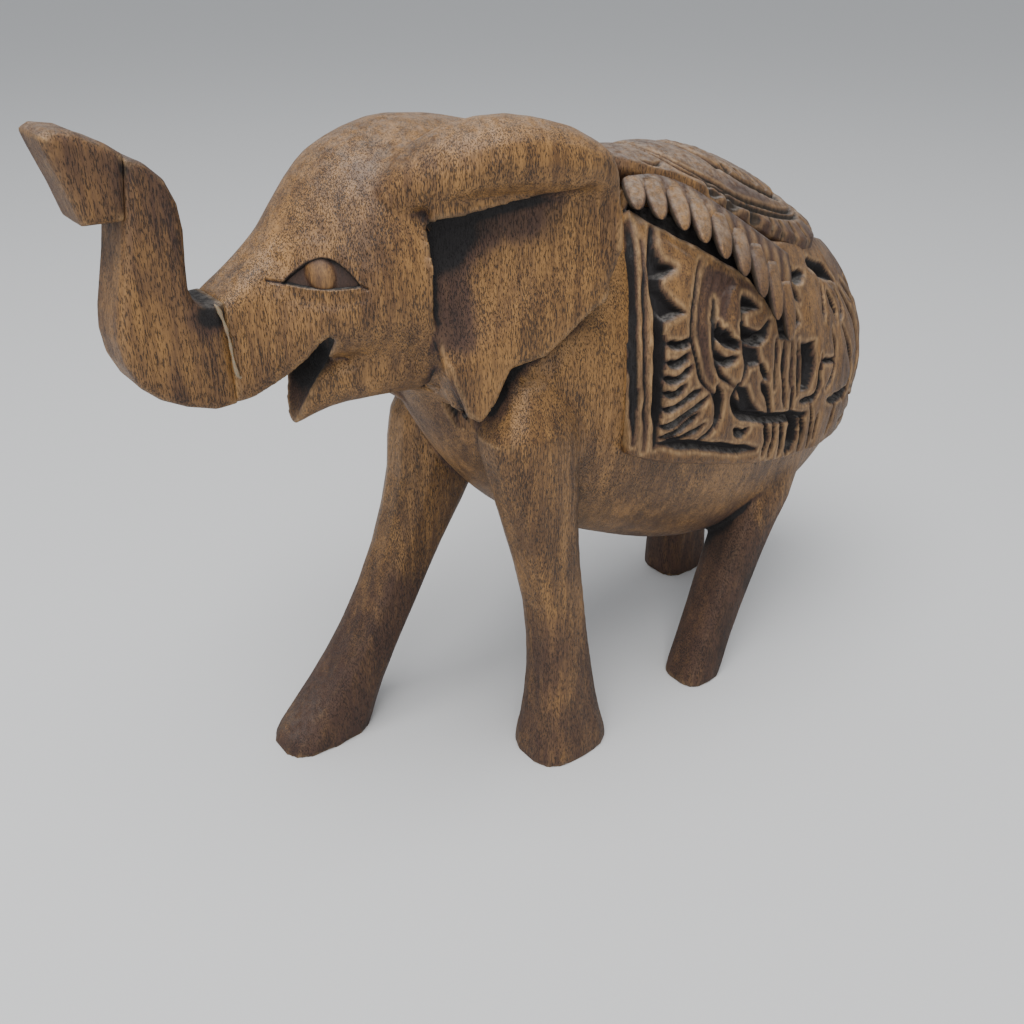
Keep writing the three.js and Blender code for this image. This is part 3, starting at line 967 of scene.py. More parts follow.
class ElephantSizes(bpy.types.PropertyGroup):
    """Sizes that a user may want to change."""

    block_grain: size_property("Block grain", "Size of the sculpted block's faces", 0.6, 0.4, 3)
    trunk_grain: size_property("Trunk grain", "Size of the trunk pieces' faces", 0.4, 0.3, 2)
    chisel_size: size_property("Chisel mark size", "Width of one chisel mark", 7.5, 1, 20)
    chisel_depth: size_property("Chisel mark depth", "Depth of the chisel marks", 0.16, 0, 2)
    cloth_height: size_property(
        "Cloth height", "How far the saddle cloth stands out", 1.8, 0.5, 4
    )
    fringe_height: size_property(
        "Fringe height", "How far the row of lappets stands out", 2.6, 0.5, 5
    )
    pillow: size_property("Swell", "How much each form swells between its cuts", 0.5, 0, 2)
    lappet_width: size_property("Lappet width", "Width of one lappet", 4.3, 1, 8)
    lappet_thickness: size_property("Lappet thickness", "Thickness of one lappet", 2.7, 0.5, 4)
    rim_steps: IntProperty(
        name="Pad spokes", description="Number of faces round the pad's rim", default=340,
        min=24, max=720,
    )


def colour_property(label, about, value):
    return FloatVectorProperty(
        name=label, description=about, default=value, subtype="COLOR", size=3, min=0, max=1
    )


class ElephantColours(bpy.types.PropertyGroup):
    """Colours that a user may want to change."""

    light: colour_property("Light wood", "Colour of the open, rubbed wood", (0.262, 0.134, 0.042))
    dark: colour_property("Dark wood", "Colour of the darker grain", (0.088, 0.041, 0.014))
    stain_and_shade: colour_property("Stain", "Purple-brown stain in the recesses", (0.046, 0.021, 0.015))
    # Near-black painted shadow at the bottom of the cuts.
    deep: colour_property("Deep cuts", "Colour at the bottom of the cuts", (0.0055, 0.0035, 0.0035))
    rubbed: colour_property("Rubbed edges", "Colour of rubbed edges", (0.40, 0.245, 0.11))
    dust: colour_property("Dust", "Pale dust on upward faces", (0.34, 0.25, 0.17))
    glue: colour_property("Dry glue", "Colour of the dried glue", (0.24, 0.18, 0.11))
    floor: colour_property("Floor", "Colour of the floor", (0.62, 0.62, 0.62))


materials = {}


def make_materials():
    """The wood, the stained carving, the eyes and the glue."""
    if materials:
        return
    pick = bpy.context.scene.elephant_colours
    groups = {"grain": grain_group(), "stain_and_shade": stain_and_shade_group(), "dust": dust_group()}
    woods = (pick.light, pick.dark, pick.stain_and_shade, pick.deep, pick.rubbed)
    common = (groups, *(tuple(colour) for colour in woods))
    materials["wood"] = wood_material("Waxed wood", *common, 1.0, -0.02, 0.16, 0.9)
    materials["carving"] = wood_material("Stained carving", *common, 0.9, 0.1, 0.3, 0.8)
    materials["eye"] = wood_material("Eye wood", *common, 0.4, 0.0, 0.2, 0.3)
    glue = bpy.data.materials.new("Dry glue")
    glue.use_nodes = True
    tree = glue.node_tree
    shader = tree.nodes["Principled BSDF"]
    vector = node(tree, "TexCoord").outputs["Object"]
    cloudy = stretched_noise(tree, vector, 1.0, 900, 3)
    paler = tuple(pick.glue)
    duller = tuple(0.72 * c for c in paler)
    clouds = mixed(tree, cloudy, solid_colour(duller), solid_colour(paler))
    wire(tree, clouds, shader.inputs["Base Color"])
    wire(tree, ranged(tree, cloudy, 0.3, 0.7, 0.28, 0.5), shader.inputs["Roughness"])
    shader.inputs["Subsurface Weight"].default_value = 0.15
    shader.inputs["Subsurface Scale"].default_value = 0.001
    materials["glue"] = glue


# ------------------------------------------------------------------ stage


class ELEPHANT_OT_stage(bpy.types.Operator):
    """Set out the floor, the soft studio light and the camera"""

    bl_idname = "elephant.stage"
    bl_label = "Stage"

    def execute(self, context):
        scene = context.scene
        floor_mesh = bpy.data.meshes.new("floor")
        reach = 9.0
        corners = [(-reach, -reach, 0), (reach, -reach, 0), (reach, reach, 0), (-reach, reach, 0)]
        floor_mesh.from_pydata(corners, [], [(0, 1, 2, 3)])
        floor = bpy.data.objects.new("floor", floor_mesh)
        scene.collection.objects.link(floor)
        paint = bpy.data.materials.new("Pale floor")
        paint.use_nodes = True
        shader = paint.node_tree.nodes["Principled BSDF"]
        shader.inputs["Base Color"].default_value = solid_colour(scene.elephant_colours.floor)
        shader.inputs["Roughness"].default_value = 0.75
        shader.inputs["Specular IOR Level"].default_value = 0.2
        floor_mesh.materials.append(paint)

        world = bpy.data.worlds.new("Soft room")
        world.use_nodes = True
        sky = world.node_tree.nodes["Background"]
        sky.inputs["Color"].default_value = (0.93, 0.96, 1.0, 1)
        sky.inputs["Strength"].default_value = 0.64
        scene.world = world

        middle = Vector((0, 0, 0.07))
        lamps = (
            ("Overhead", (0.15, -0.25, 0.85), 0.7, 8.6),
            ("Front", (0.75, -0.75, 0.55), 0.6, 4.6),
        )
        for name, place, size, power in lamps:
            lamp = bpy.data.lights.new(name, "AREA")
            lamp.shape = "DISK"
            lamp.size = size
            lamp.energy = power
            holder = bpy.data.objects.new(name, lamp)
            holder.location = place
            holder.rotation_euler = (middle - Vector(place)).to_track_quat("-Z", "Y").to_euler()
            scene.collection.objects.link(holder)

        camera = bpy.data.cameras.new("Camera")
        camera.sensor_width = 36
        camera.lens = 36.1
        camera.clip_start = 0.01
        holder = bpy.data.objects.new("Camera", camera)
        forward = Vector((-0.6824, 0.5332, -0.5)).normalized()
        holder.location = (0.1577, -0.1338, 0.1687)
        holder.rotation_euler = forward.to_track_quat("-Z", "Y").to_euler()
        scene.collection.objects.link(holder)
        scene.camera = holder
        return {"FINISHED"}


# ------------------------------------------------------------------ the carved block

# The near lip from the chin up to the corner of the mouth, as (half width, back, up), and
# how far the mouth is scooped out behind it on the middle line.
LIPS = [
    (0.8, 33.6, 88.6), (1.8, 34.2, 91.6), (3.5, 35.4, 95.8), (5.0, 36.6, 99.3),
    (7.2, 37.2, 102.5), (9.9, 37.4, 105.6), (12.6, 38.0, 109.4),
]
SCOOP = [0.0, 0.4, 1.6, 3.2, 4.4, 4.0, 1.0]
LIP_HALF, LIP_BACK, LIP_UP = np.array(LIPS).T


def mouth_back(across, up):
    """How far back the scooped front of the lower jaw lies."""
    half = np.interp(up, LIP_UP, LIP_HALF)
    depth = np.interp(up, LIP_UP, SCOOP)
    return np.interp(up, LIP_UP, LIP_BACK) + depth * (1 - (across / half) ** 2).clip(0) ** 0.7


def mouth_wedge():
    """A scoop between the root of the trunk and the lower lip, open to the front."""
    rings = []
    heights = [86, 88.6, 91.6, 94, 95.8, 97.6, 99.3, 101, 102.5, 104, 105.6, 107, 108.2]
    heights = np.array(heights)
    half = (16, 12, 9.5, 7.5, 6, 4.5, 3, 1.5, 0)
    for across in half + tuple(-h for h in half[-2::-1]):
        profile = [(26.0, 86.0)] + list(zip(mouth_back(across, heights), heights))
        profile += [(38.0, 109.8), (35.6, 107.5), (33.7, 104.5), (31, 102), (28.5, 100.4), (26, 99)]
        rings.append([(across, back, up) for back, up in profile])
    return wedge(rings)


# The hollow under the ear's upper lobe, from front to back: back, depth, top and bottom.
LOBE_HOLLOW = [
    (53.3, 0.4, 126.6, 100), (53.9, 4.4, 126.9, 101), (59, 4.6, 127.4, 103),
    (65, 4.0, 128.4, 106), (72, 2.8, 129.6, 110), (79, 1.3, 130.4, 113), (85, 0.2, 130, 115),
]
EAR_FACE = 19.4  # how far out the ear's face lies where it leaves the head
EAR_FILL = 14.2  # how far out the wood behind it reaches
EAR_FROM = 55  # where the ear leaves the head
EAR_SPREAD = 0.287  # how much further out it lies for each millimetre back
PAST_EAR = 34  # well outside the ear


def ear_wedge(side, drop):
    """The recess behind the head's edge and under the ear's upper lobe."""
    rings = []
    for back, depth, top, bottom in LOBE_HOLLOW:
        face = EAR_FACE + (back - EAR_FROM) * EAR_SPREAD
        deep = face - depth
        middle = (top + bottom) / 2
        ring = [
            (PAST_EAR, top), (deep + 1.4, top - 0.2), (deep, top - 2),
            (deep + 0.15 * depth, middle + 4), (deep + 0.5 * depth, middle - 3),
            (face + 0.2, bottom), (PAST_EAR, bottom),
        ]
        rings.append([(side * across, back, up - drop) for across, up in ring])
    return wedge(rings)


# The ear's rear and lower edge, from the top of the lobe round the tip, as (back, up).
EAR_EDGE = [
    (86.4, 128), (86.7, 116.6), (86.4, 111.2), (84.9, 109.4), (82.4, 108.4), (79.3, 106),
    (76.5, 102.8), (73.2, 100.2), (69.4, 99), (66.3, 96.5), (63.8, 93), (60.6, 89.6),
    (58.3, 91.4), (55.9, 98.3),
]
EAR_AREA = EAR_EDGE + [(54, 109), (54, 134), (84, 134)]


def ear_filler(side, drop):
    """Solid wood behind the ear, so that no gap is left between it and the neck."""
    rings = []
    spans = ((48, 108, 131), (54, 97, 129), (60, 91, 128), (66, 89, 128), (74, 101, 128))
    for back, low, high in spans:
        outer = EAR_FILL + max(0.0, back - EAR_FROM) * EAR_SPREAD
        ring = [(3, high), (outer, high), (outer, low + 6), (outer - 3, low), (3, low)]
        rings.append([(side * across, back, up - drop) for across, up in ring])
    return wedge(rings)


def refine(piece, chosen):
    """Cuts the faces of a region in four."""
    bm = bmesh.new()
    bm.from_mesh(piece.data)
    wanted = []
    for edge in bm.edges:
        a, b = (np.array(v.co) / MM - [0, TIP, 0] for v in edge.verts)
        if chosen((a + b) / 2):
            wanted.append(edge)
    bmesh.ops.subdivide_edges(bm, edges=wanted, cuts=1, use_grid_fill=True)
    bm.to_mesh(piece.data)
    bm.free()


# The eye's two lids from the front corner to the rear one, as (back, up).
UPPER_LID = [
    (31.6, 117.9), (33.4, 119.5), (35.6, 121.1), (37.7, 121.7), (39.6, 120.6), (41.6, 117.4),
]
LOWER_LID = [(31.6, 117.9), (34, 117.2), (37, 116.8), (40.2, 116.9), (41.6, 117.4)]
EYE_OUTLINE = UPPER_LID + LOWER_LID[-2:0:-1]
EYE_MIDDLE = (36.9, 119.0)
BROW = [(33, 122.2), (36.6, 123.7), (40, 122.6), (42.4, 119.4)]
EYE_BAG = [(32.6, 115.4), (37, 114.6), (41.6, 114.9)]
SOCKET_DEPTH = 1.9


def eye_ring(count):
    """The eye's outline as a smooth closed ring of points."""
    return rounded(EYE_OUTLINE + EYE_OUTLINE[:1], count + 1)[:-1]


def face_details(x, t, z):
    """Displacement of the block in millimetres round the eyes and the mouth, and its painted shade:
    dark in the eye sockets, along the lines at their corners and in the mouth behind the lower lip,
    lighter along the lower lid as rubbed wear.
    """
    near = (np.abs(x) > 4.5) & (np.abs(t - 37) < 9) & (np.abs(z - 119) < 7)
    push = np.zeros(len(x))
    stain_and_shade = np.zeros(len(x))
    p, q = t[near], z[near]
    d = inside(p, q, eye_ring(59).tolist())
    low = np.where(d > 0, 9, from_line(p, q, rounded(LOWER_LID, 20))[0])
    brow, _ = from_line(p, q, rounded(BROW, 16))
    bag, _ = from_line(p, q, rounded(EYE_BAG, 12))
    lead, _ = from_line(p, q, [(29.6, 118.4), (31.8, 117.8)])
    tail, _ = from_line(p, q, [(41.2, 117.6), (42.6, 116.7)])
    ends = np.minimum(lead, tail)
    carved = 0.16 * ease(1 - brow / 2.0) - SOCKET_DEPTH * ease((d + 0.1) / 0.55)
    carved += 0.14 * ease(1 - low / 0.9) - 0.12 * ease(1 - bag / 1.6)
    carved -= 0.4 * ease(1 - ends / 0.45)
    push[near] = carved
    # Painted shade inside the eye's outline and along the lines at its corners; the lower lid's edge
    # is kept lighter as rubbed wear.
    dark = ease((d + 0.35) / 0.4) + 0.6 * ease(1 - ends / 0.5)
    stain_and_shade[near] = dark - 0.3 * ease(1 - low / 0.7)
    mouth = (np.abs(x) < 14) & (t < 48) & (z > 88) & (z < 110)
    a, b, c = x[mouth], t[mouth], z[mouth]
    half = np.interp(c, LIP_UP, LIP_HALF)
    behind = np.abs(b - mouth_back(a, c))
    # Painted shade in the scooped mouth, just behind the lower lip.
    stain_and_shade[mouth] += 0.42 * ease(1.25 - behind / 1.1) * ease((half - np.abs(a)) / 0.8 + 0.3)
    return push, stain_and_shade


# The lower edge of the ear's upper lobe, as (back, up).
LOBE_EDGE = [(53.3, 126.6), (59, 127.4), (65, 128.4), (72, 129.6), (79, 130.6), (85, 130.6)]

def ear_places(x, t, z):
    """Cuts a line round the ear's lower edge and paints shadow along it, and paints shade in the
    recess under its lobe and in a strip at the ear's front below it.
    """
    push = np.zeros(len(x))
    stain_and_shade = np.zeros(len(x))
    for side, drop in EAR_SIDES:
        near = (x * side > 10) & (t > 50) & (t < 96) & (z + drop > 84) & (z + drop < 134)
        p, q = t[near], z[near] + drop
        d, _ = from_line(p, q, EAR_EDGE)
        outer = ease((0.3 - inside(p, q, EAR_AREA)) / 1.0)
        sunk = ease(1 - d / 8) * outer * ease((p - 54) / 5)
        push[near] = -2.3 * sunk
        # Painted shadow along the sunk line outside the ear's edge.
        stain_and_shade[near] = 0.6 * ease(1.1 - d / 3.2) * outer
        lobe = np.interp(p, *np.array(LOBE_EDGE).T)
        # Painted shade in the recess under the lobe, and in a strip at the ear's front below it.
        deep = ease((lobe + 1.2 - q) / 2) * ease(1 - (lobe - q - 5) / 7) * ease((82 - p) / 14)
        painted_shade_strip = ease(1 - (p - 58) / 6) * ease((q - 100) / 6) * ease((lobe + 1 - q) / 2)
        stain_and_shade[near] += (0.75 * deep + 0.7 * painted_shade_strip) * (p > 53.4)
    return push, stain_and_shade


def name_faces(whole, points):
    """Gives every face of the block to the CAD node that it lies nearest to."""
    mesh = whole.data
    corners = [tuple(f.vertices) for f in mesh.polygons]
    middles = np.array([points[list(c)].mean(0) for c in corners])
    best = np.full(len(middles), FAR)
    label = np.zeros(len(middles), int)
    for k, name in enumerate(BLOCK_NODES):
        copy = node_copy(name, 0.15)
        tree = tree_of(to_millimetres(copy.data), copy.data)
        near = to_millimetres(copy.data)
        low, high = near.min(0) - 3, near.max(0) + 3
        drop(copy)
        for i in np.nonzero(((middles > low) & (middles < high)).all(1))[0]:
            found = tree.find_nearest(Vector(middles[i]), 4.0)
            if found[0] is not None and found[3] < best[i]:
                best[i] = found[3]
                label[i] = k
    pairs = {}
    sides = [[] for _ in corners]
    for i, c in enumerate(corners):
        for a, b in zip(c, c[1:] + c[:1]):
            key = (a, b) if a < b else (b, a)
            if key in pairs:
                j = pairs.pop(key)
                sides[i].append(j)
                sides[j].append(i)
            else:
                pairs[key] = i
    for _ in range(6):
        fresh = label.copy()
        for i, near in enumerate(sides):
            around = [label[j] for j in near]
            top = max(set(around), key=around.count) if around else label[i]
            if top != label[i] and around.count(top) >= 3:
                fresh[i] = top
        label = fresh
    return corners, settle_islands(label, sides)


def settle_islands(label, sides):
    """Hands every stray patch of faces to the piece that surrounds it."""
    seen = np.zeros(len(label), bool)
    patches = []
    for start in range(len(label)):
        if seen[start]:
            continue
        seen[start] = True
        patch_faces, stack = [], [start]
        while stack:
            i = stack.pop()
            patch_faces.append(i)
            for j in sides[i]:
                if not seen[j] and label[j] == label[start]:
                    seen[j] = True
                    stack.append(j)
        patches.append(patch_faces)
    largest = {}
    for faces in patches:
        k = label[faces[0]]
        if len(faces) > len(largest.get(k, [])):
            largest[k] = faces
    for faces in sorted(patches, key=len):
        k = label[faces[0]]
        if faces is largest[k]:
            continue
        around = [label[j] for i in faces for j in sides[i] if label[j] != k]
        if around:
            label[faces] = max(set(around), key=around.count)
    return label

# A hidden fan's middle is drawn in to this share of its distance from the middle line.
HUB_PULL = 0.35


def close_off(name, points, faces, normals, values):
    """A closed piece from a patch of the block, with a hidden fan inside each opening."""
    used = np.unique(np.concatenate([np.array(f) for f in faces]))
    where = {int(v): i for i, v in enumerate(used)}
    own = [tuple(where[v] for v in f) for f in faces]
    edge_to = {}
    sides = set()
    for f in own:
        for a, b in zip(f, f[1:] + f[:1]):
            sides.add((a, b))
    rim = [(a, b) for a, b in sides if (b, a) not in sides]
    for a, b in rim:
        edge_to.setdefault(a, []).append(b)
    verts = points[used].tolist()
    fans = []
    while edge_to:
        first = next(iter(edge_to))
        loop, at = [first], first
        while True:
            nxt = edge_to[at].pop()
            if not edge_to[at]:
                del edge_to[at]
            if nxt == first:
                break
            loop.append(nxt)
            at = nxt
            if at not in edge_to:
                break
        centre = np.mean([verts[i] for i in loop], axis=0)
        centre[0] *= HUB_PULL
        fans += fan_faces(loop[::-1], len(verts))
        verts.append(centre.tolist())
    piece = new_object(name, verts, own + fans)
    mesh = piece.data
    smooth = normals[used]
    loops = []
    for face in mesh.polygons:
        flat = tuple(face.normal)
        for v in face.vertices:
            loops.append(tuple(smooth[v]) if face.index < len(own) else flat)
    mesh.normals_split_custom_set(loops)
    extra = len(verts) - len(used)
    for label, numbers in values.items():
        store(mesh, label, np.concatenate([numbers[used], np.full(extra, 0.5)]))
    return piece


# The smooth block before the fine cuts, kept for the eyes to lie in.
beds = {}


def sculpt_block(context):
    """The whole carved block as one smooth mesh, before it is divided."""
    sizes = context.scene.elephant_sizes
    shell = body_shell()
    parts = [shell]
    mouth = mouth_wedge()
    left, right = (ear_wedge(side, fall) for side, fall in EAR_SIDES)
    hollows = {"left_ear": left, "right_ear": right}
    cut(shell, hollows.values())
    for name in BLOCK_NODES[1:] + ("left_eye", "right_eye"):
        copy = node_copy(name, 0.55 if name.endswith("ear") else 0.22)
        if name.endswith("ear"):
            longer_ear(copy, EAR_DROP if name == "right_ear" else 0)
        if name in ("head", "lower_jaw"):
            cut(copy, [mouth])
        if name in ("head", "left_ear", "right_ear"):
            for ear, gouge in hollows.items():
                if name in ("head", ear):
                    cut(copy, [gouge])
        parts.append(copy)
    for gouge in [mouth, *hollows.values()]:
        drop(gouge)
    parts += [ear_filler(side, fall) for side, fall in EAR_SIDES]
    whole = remeshed(joined("block", parts), sizes.block_grain)
    points = to_millimetres(whole.data)
    edges = edges_of(whole.data)
    crisp = smoothed(points, edges, 5)
    soft = smoothed(crisp, edges, 60, False)
    share = soft_places(*crisp.T)[:, None]
    sharp = smoothed(to_millimetres(whole.data), edges, 1)
    end = ease((24.6 - crisp[:, 1]) / 1.4)[:, None]
    points = crisp * (1 - share) + soft * share
    points = points * (1 - end) + sharp * end
    put_points(whole.data, points)
    beds["block"] = tree_of(points, whole.data)
    for _ in range(2):
        refine(whole, lambda p: 29 < p[1] < 44.5 and 114.5 < p[2] < 124.5 and abs(p[0]) > 4)
    return whole


def longer_ear(piece, drop):
    """Draws the ear's lower end down to a point, and its rear corner out."""
    points = to_millimetres(piece.data)
    up = points[:, 2] + drop
    points[:, 2] -= 3.6 * ease((98.5 - up) / 6)
    points[:, 1] += 1.0 * np.exp(-(((up - 110) / 5.5) ** 2)) * ease((points[:, 1] - 74) / 8)
    put_points(piece.data, points)


# Where the carver blended two forms: strength, back, up, its reach along and up, and the
# least and greatest distance from the middle line.
SOFT_SPOTS = [
    (1.0, 79, 81, 10, 7, 6, 99),
    (1.0, 150, 54, 13, 7, 0, 99),
    (1.0, 51, 134, 5, 6, 0, 99),
    (1.0, 58, 96, 13, 7, 0, 17),
    (0.8, 48, 104, 6, 4, 8, 99),
]


def soft_places(x, t, z):
    """How much the block is blended: shoulders, hips, throat, eyes and the ear's upper lobe."""
    share = 1.3 * spot(t, z, 37, 119, 6, 4.6, power=4) * (np.abs(x) > 4.5)
    for strength, *place, least, most in SOFT_SPOTS:
        share += strength * spot(t, z, *place) * ((np.abs(x) >= least) & (np.abs(x) < most))
    for side, drop in EAR_SIDES:
        share += 1.2 * spot(t, z + drop, 84, 129, 6, 5) * (x * side > 12)
        foot = [(back, bottom) for back, _, _, bottom in LOBE_HOLLOW[2:]]
        line, _ = from_line(t, z + drop, foot)
        share += ease(1.2 - line / 4) * (x * side > 12)
    return ease(1.5 * share)


# Painted shade on the chest, behind the ear, on the head in front of the ear and under the belly,
# darker where the trunk meets the face, and painted light on the cheek where the strength is negative:
# strength, back, up, and its reach along and up.
PAINTED_SHADE_AND_LIGHT_SPOTS = [
    (0.42, 58, 83, 10, 12),
    (0.14, 84, 102, 5, 10),
    (-0.2, 44, 106, 9, 8),
    (0.1, 50, 125, 9, 9),
    (0.22, 112, 44, 30, 9),
    (0.25, 24, 114, 4, 5),
]


class ELEPHANT_OT_block(bpy.types.Operator):
    """Sculpt the body, head, jaw, ears, legs and tail as one carved block, and divide it"""

    bl_idname = "elephant.block"
    bl_label = "Carved block"

    def execute(self, context):
        make_materials()
        sizes = context.scene.elephant_sizes
        whole = sculpt_block(context)
        mesh = whole.data
        edges = edges_of(mesh)
        points, normals = to_millimetres(mesh), normals_of(mesh)
        x, t, z = points.T
        push = gouge_marks(points, sizes.chisel_size, sizes.chisel_depth)
        push *= ease((z - 2) / 6)
        details, stain_and_shade = face_details(x, t, z)
        round_ears, more = ear_places(x, t, z)
        push += details + round_ears
        stain_and_shade += more
        points = points + normals * push[:, None]
        points = points + normals * self.under_saddle(points)[:, None]
        points[:, 2] = points[:, 2].clip(0)
        put_points(mesh, points)
        normals = normals_of(mesh)
        near, wide = curvature(points, normals, edges)
        closed = shade_by_reach(points, normals, tree_of(points, mesh))
        closed = smoothed(closed[:, None], edges, 3, False)[:, 0]
        # Painted shade: the more closed in a point is, the darker it is painted. Curvature then adds
        # staining in recesses, and the face, the ears and the other places add their painted shade and
        # light.
        stain_and_shade_level = 0.75 * ease((closed - 0.12) / 0.75)
        stain_and_shade_level += 0.45 * ease(wide / 0.8) + 0.35 * ease(near / 0.12)
        stain_and_shade_level += stain_and_shade + self.painted_shade_and_light_places(x, t, z)
        edge = ease((-near - 0.03) / 0.12) * 0.6
        values = {"stain_and_shade_level": stain_and_shade_level.clip(-0.35, 1.2), "edge": edge.clip(0, 1)}
        corners, label = name_faces(whole, points)
        for k, name in enumerate(BLOCK_NODES):
            faces = [corners[i] for i in np.nonzero(label == k)[0]]
            piece = close_off("carved_" + name, points, faces, normals, values)
            finish_piece(piece, [name], materials["wood"])
        drop(whole)
        return {"FINISHED"}

    @staticmethod
    def under_saddle(points):
        """How far the block is sunk where the saddle cloth covers it."""
        x, t, z = points.T
        turn = np.arctan2((t - WRAP_FROM).clip(0), np.abs(x).clip(1))
        back = np.where(t > WRAP_FROM, WRAP_FROM + WRAP_RADIUS * turn, t)
        top = [(185, 104), (166, 106), (158, 140), (98, 140)]
        outline = CLOTH_BOTTOM + CLOTH_REAR[1:] + top + CLOTH_FRONT[::-1]
        d = inside(back, z, outline)
        return -2.4 * ease((d - 1.2) / 1.5)

    @staticmethod
    def painted_shade_and_light_places(x, t, z):
        """Painted shade on the chest, behind the ears, on the throat, in the mouth, under the belly
        and rump, low down all over and on the far front leg, painted light high on the near front leg,
        and a darker upper ear lobe.
        """
        stain_and_shade = sum(strength * spot(t, z, *place) for strength, *place in PAINTED_SHADE_AND_LIGHT_SPOTS)
        # Painted light high on the near front leg.
        stain_and_shade -= 0.22 * spot(t, z, 80, 70, 8, 16) * (x > 0)
        # Painted shade in the mouth.
        stain_and_shade += 0.5 * spot(t, z, 34, 100, 5, 4) * (np.abs(x) < 8)
        stain_and_shade += 0.14 * ease((z - 127) / 6) * ((np.abs(x) > 12) & (t > 54))
        # Painted shade from the light above: darker towards the bottom, a little more on the near
        # side.
        stain_and_shade += (0.4 + 0.1 * (x > 0)) * ease((52 - z) / 24)
        # Painted shade on the far front leg, on the side away from the light.
        stain_and_shade += 0.2 * ease((70 - z) / 20) * ((x < 0) & (t < 100))
        # Painted shade under the rump and the back of the belly.
        stain_and_shade += 0.26 * np.exp(-(((t - 150) / 30) ** 2)) * ease((62 - z) / 16)
        return stain_and_shade


# ------------------------------------------------------------------ trunk, eyes and glue


class ELEPHANT_OT_trunk(bpy.types.Operator):
    """Shape the two trunk pieces that are glued in front of the face"""

    bl_idname = "elephant.trunk"
    bl_label = "Trunk"

    def execute(self, context):
        make_materials()
        sizes = context.scene.elephant_sizes
        for name in ("trunk_curve", "trunk_tip"):
            piece = remeshed(node_copy(name, 0.15), sizes.trunk_grain)
            piece.name = "carved_" + name
            mesh = piece.data
            edges = edges_of(mesh)
            points = smoothed(to_millimetres(mesh), edges, 1)
            if name == "trunk_curve":
                points[:, 1] += 0.7 * ease((points[:, 1] - 21) / 1.5) * (points[:, 2] < 119)
            else:
                points[:, 1] += 0.5 * ease((points[:, 1] - 7) / 1.5)
            put_points(mesh, points)
            normals = normals_of(mesh)
            points = points + normals * gouge_marks(points, 7.0, 0.12)[:, None]
            put_points(mesh, points)
            mesh.shade_smooth()
            normals = normals_of(mesh)
            near, wide = curvature(points, normals, edges)
            x, t, z = points.T
            stain_and_shade_level = 0.34 + 0.08 * ease((z - 110) / 20)
            stain_and_shade_level += 0.5 * ease(wide / 0.5) + 0.5 * ease(near / 0.1)
            # Darker round the trunk's lower joint, and painted shade in the notch at its upper joint.
            stain_and_shade_level += 0.75 * ease(1.2 - np.hypot((t - 20.5) / 4.5, (z - 114.5) / 3.2))
            stain_and_shade_level += 0.5 * ease(1 - np.hypot((t - 10.4) / 1.6, (z - 138) / 2.2))
            # Painted shade where the nostril is.
            if name == "trunk_tip":
                nostril = ease(1 - np.hypot((t - 1.8) / 1.6, (z - 141.5) / 2.4))
                stain_and_shade_level += 0.55 * nostril * (np.abs(x) < 4.6)
            store(mesh, "stain_and_shade_level", stain_and_shade_level.clip(0, 1.1))
            store(mesh, "edge", (0.75 * ease((-near - 0.02) / 0.1)).clip(0, 1))
            finish_piece(piece, [name], materials["wood"])
        return {"FINISHED"}


class ELEPHANT_OT_eyes(bpy.types.Operator):
    """Carve the two eyes: a round ball between two dark corners"""

    bl_idname = "elephant.eyes"
    bl_label = "Eyes"

    RINGS = 26
    SPOKES = 72
    OVERLAP = 1.06  # the ball's edge goes this much past the lids, into the wood
    THICKNESS = 2.4

    def execute(self, context):
        make_materials()
        if "block" not in beds:
            drop(sculpt_block(context))
        for name, side in (("left_eye", 1), ("right_eye", -1)):
            self.make(name, side)
        return {"FINISHED"}

    def make(self, name, side):
        """Lays an almond in the socket: a ball in the middle, falling away to both corners."""
        middle = np.array(EYE_MIDDLE)
        outline = eye_ring(self.SPOKES)
        share = np.linspace(0, self.OVERLAP, self.RINGS + 1)[1:]
        rings = middle + share[:, None, None] * (outline - middle)[None]
        flat = np.vstack([rings.reshape(-1, 2), middle[None]])
        base = np.empty((len(flat), 3))
        for i, (back, up) in enumerate(flat):
            hit = beds["block"].ray_cast(Vector((40 * side, back, up)), Vector((-side, 0, 0)))
            base[i] = hit[0]
        out = np.array([0.78 * side, -0.6, 0.12])
        out /= np.linalg.norm(out)
        u, v = flat[:, 0] - 36.6, flat[:, 1] - 119.1
        ball = np.hypot(u / 1.95, v / 2.9)
        lift = -1.0 + 0.95 * np.sqrt((1 - ball**2).clip(0))
        front = base + out * lift[:, None]
        rear = base - out * self.THICKNESS
        reach = np.repeat(share, self.SPOKES)
        shade = 0.26 + 0.5 * ease((ball - 0.76) / 0.4) + 0.3 * ease((v - 1.0) / 1.6)
        shade[:-1] += 0.4 * ease((reach - 0.88) / 0.12)
        count = self.RINGS * self.SPOKES
        faces = []
        for layer in (0, count + 1):
            faces += fan_faces(range(layer, layer + self.SPOKES), layer + count)
            faces += tube_faces(self.RINGS, self.SPOKES, layer)
        rim = np.arange(count - self.SPOKES, count)
        faces += strip_faces(rim, rim + count + 1)
        piece = new_object("carved_" + name, np.vstack([front, rear]), faces)
        point_out(piece)
        shade = np.concatenate([shade, np.full(count + 1, 0.5)])
        store(piece.data, "stain_and_shade_level", shade.clip(0, 1.1))
        store(piece.data, "edge", np.zeros(2 * count + 2))
        finish_piece(piece, [name], materials["eye"])


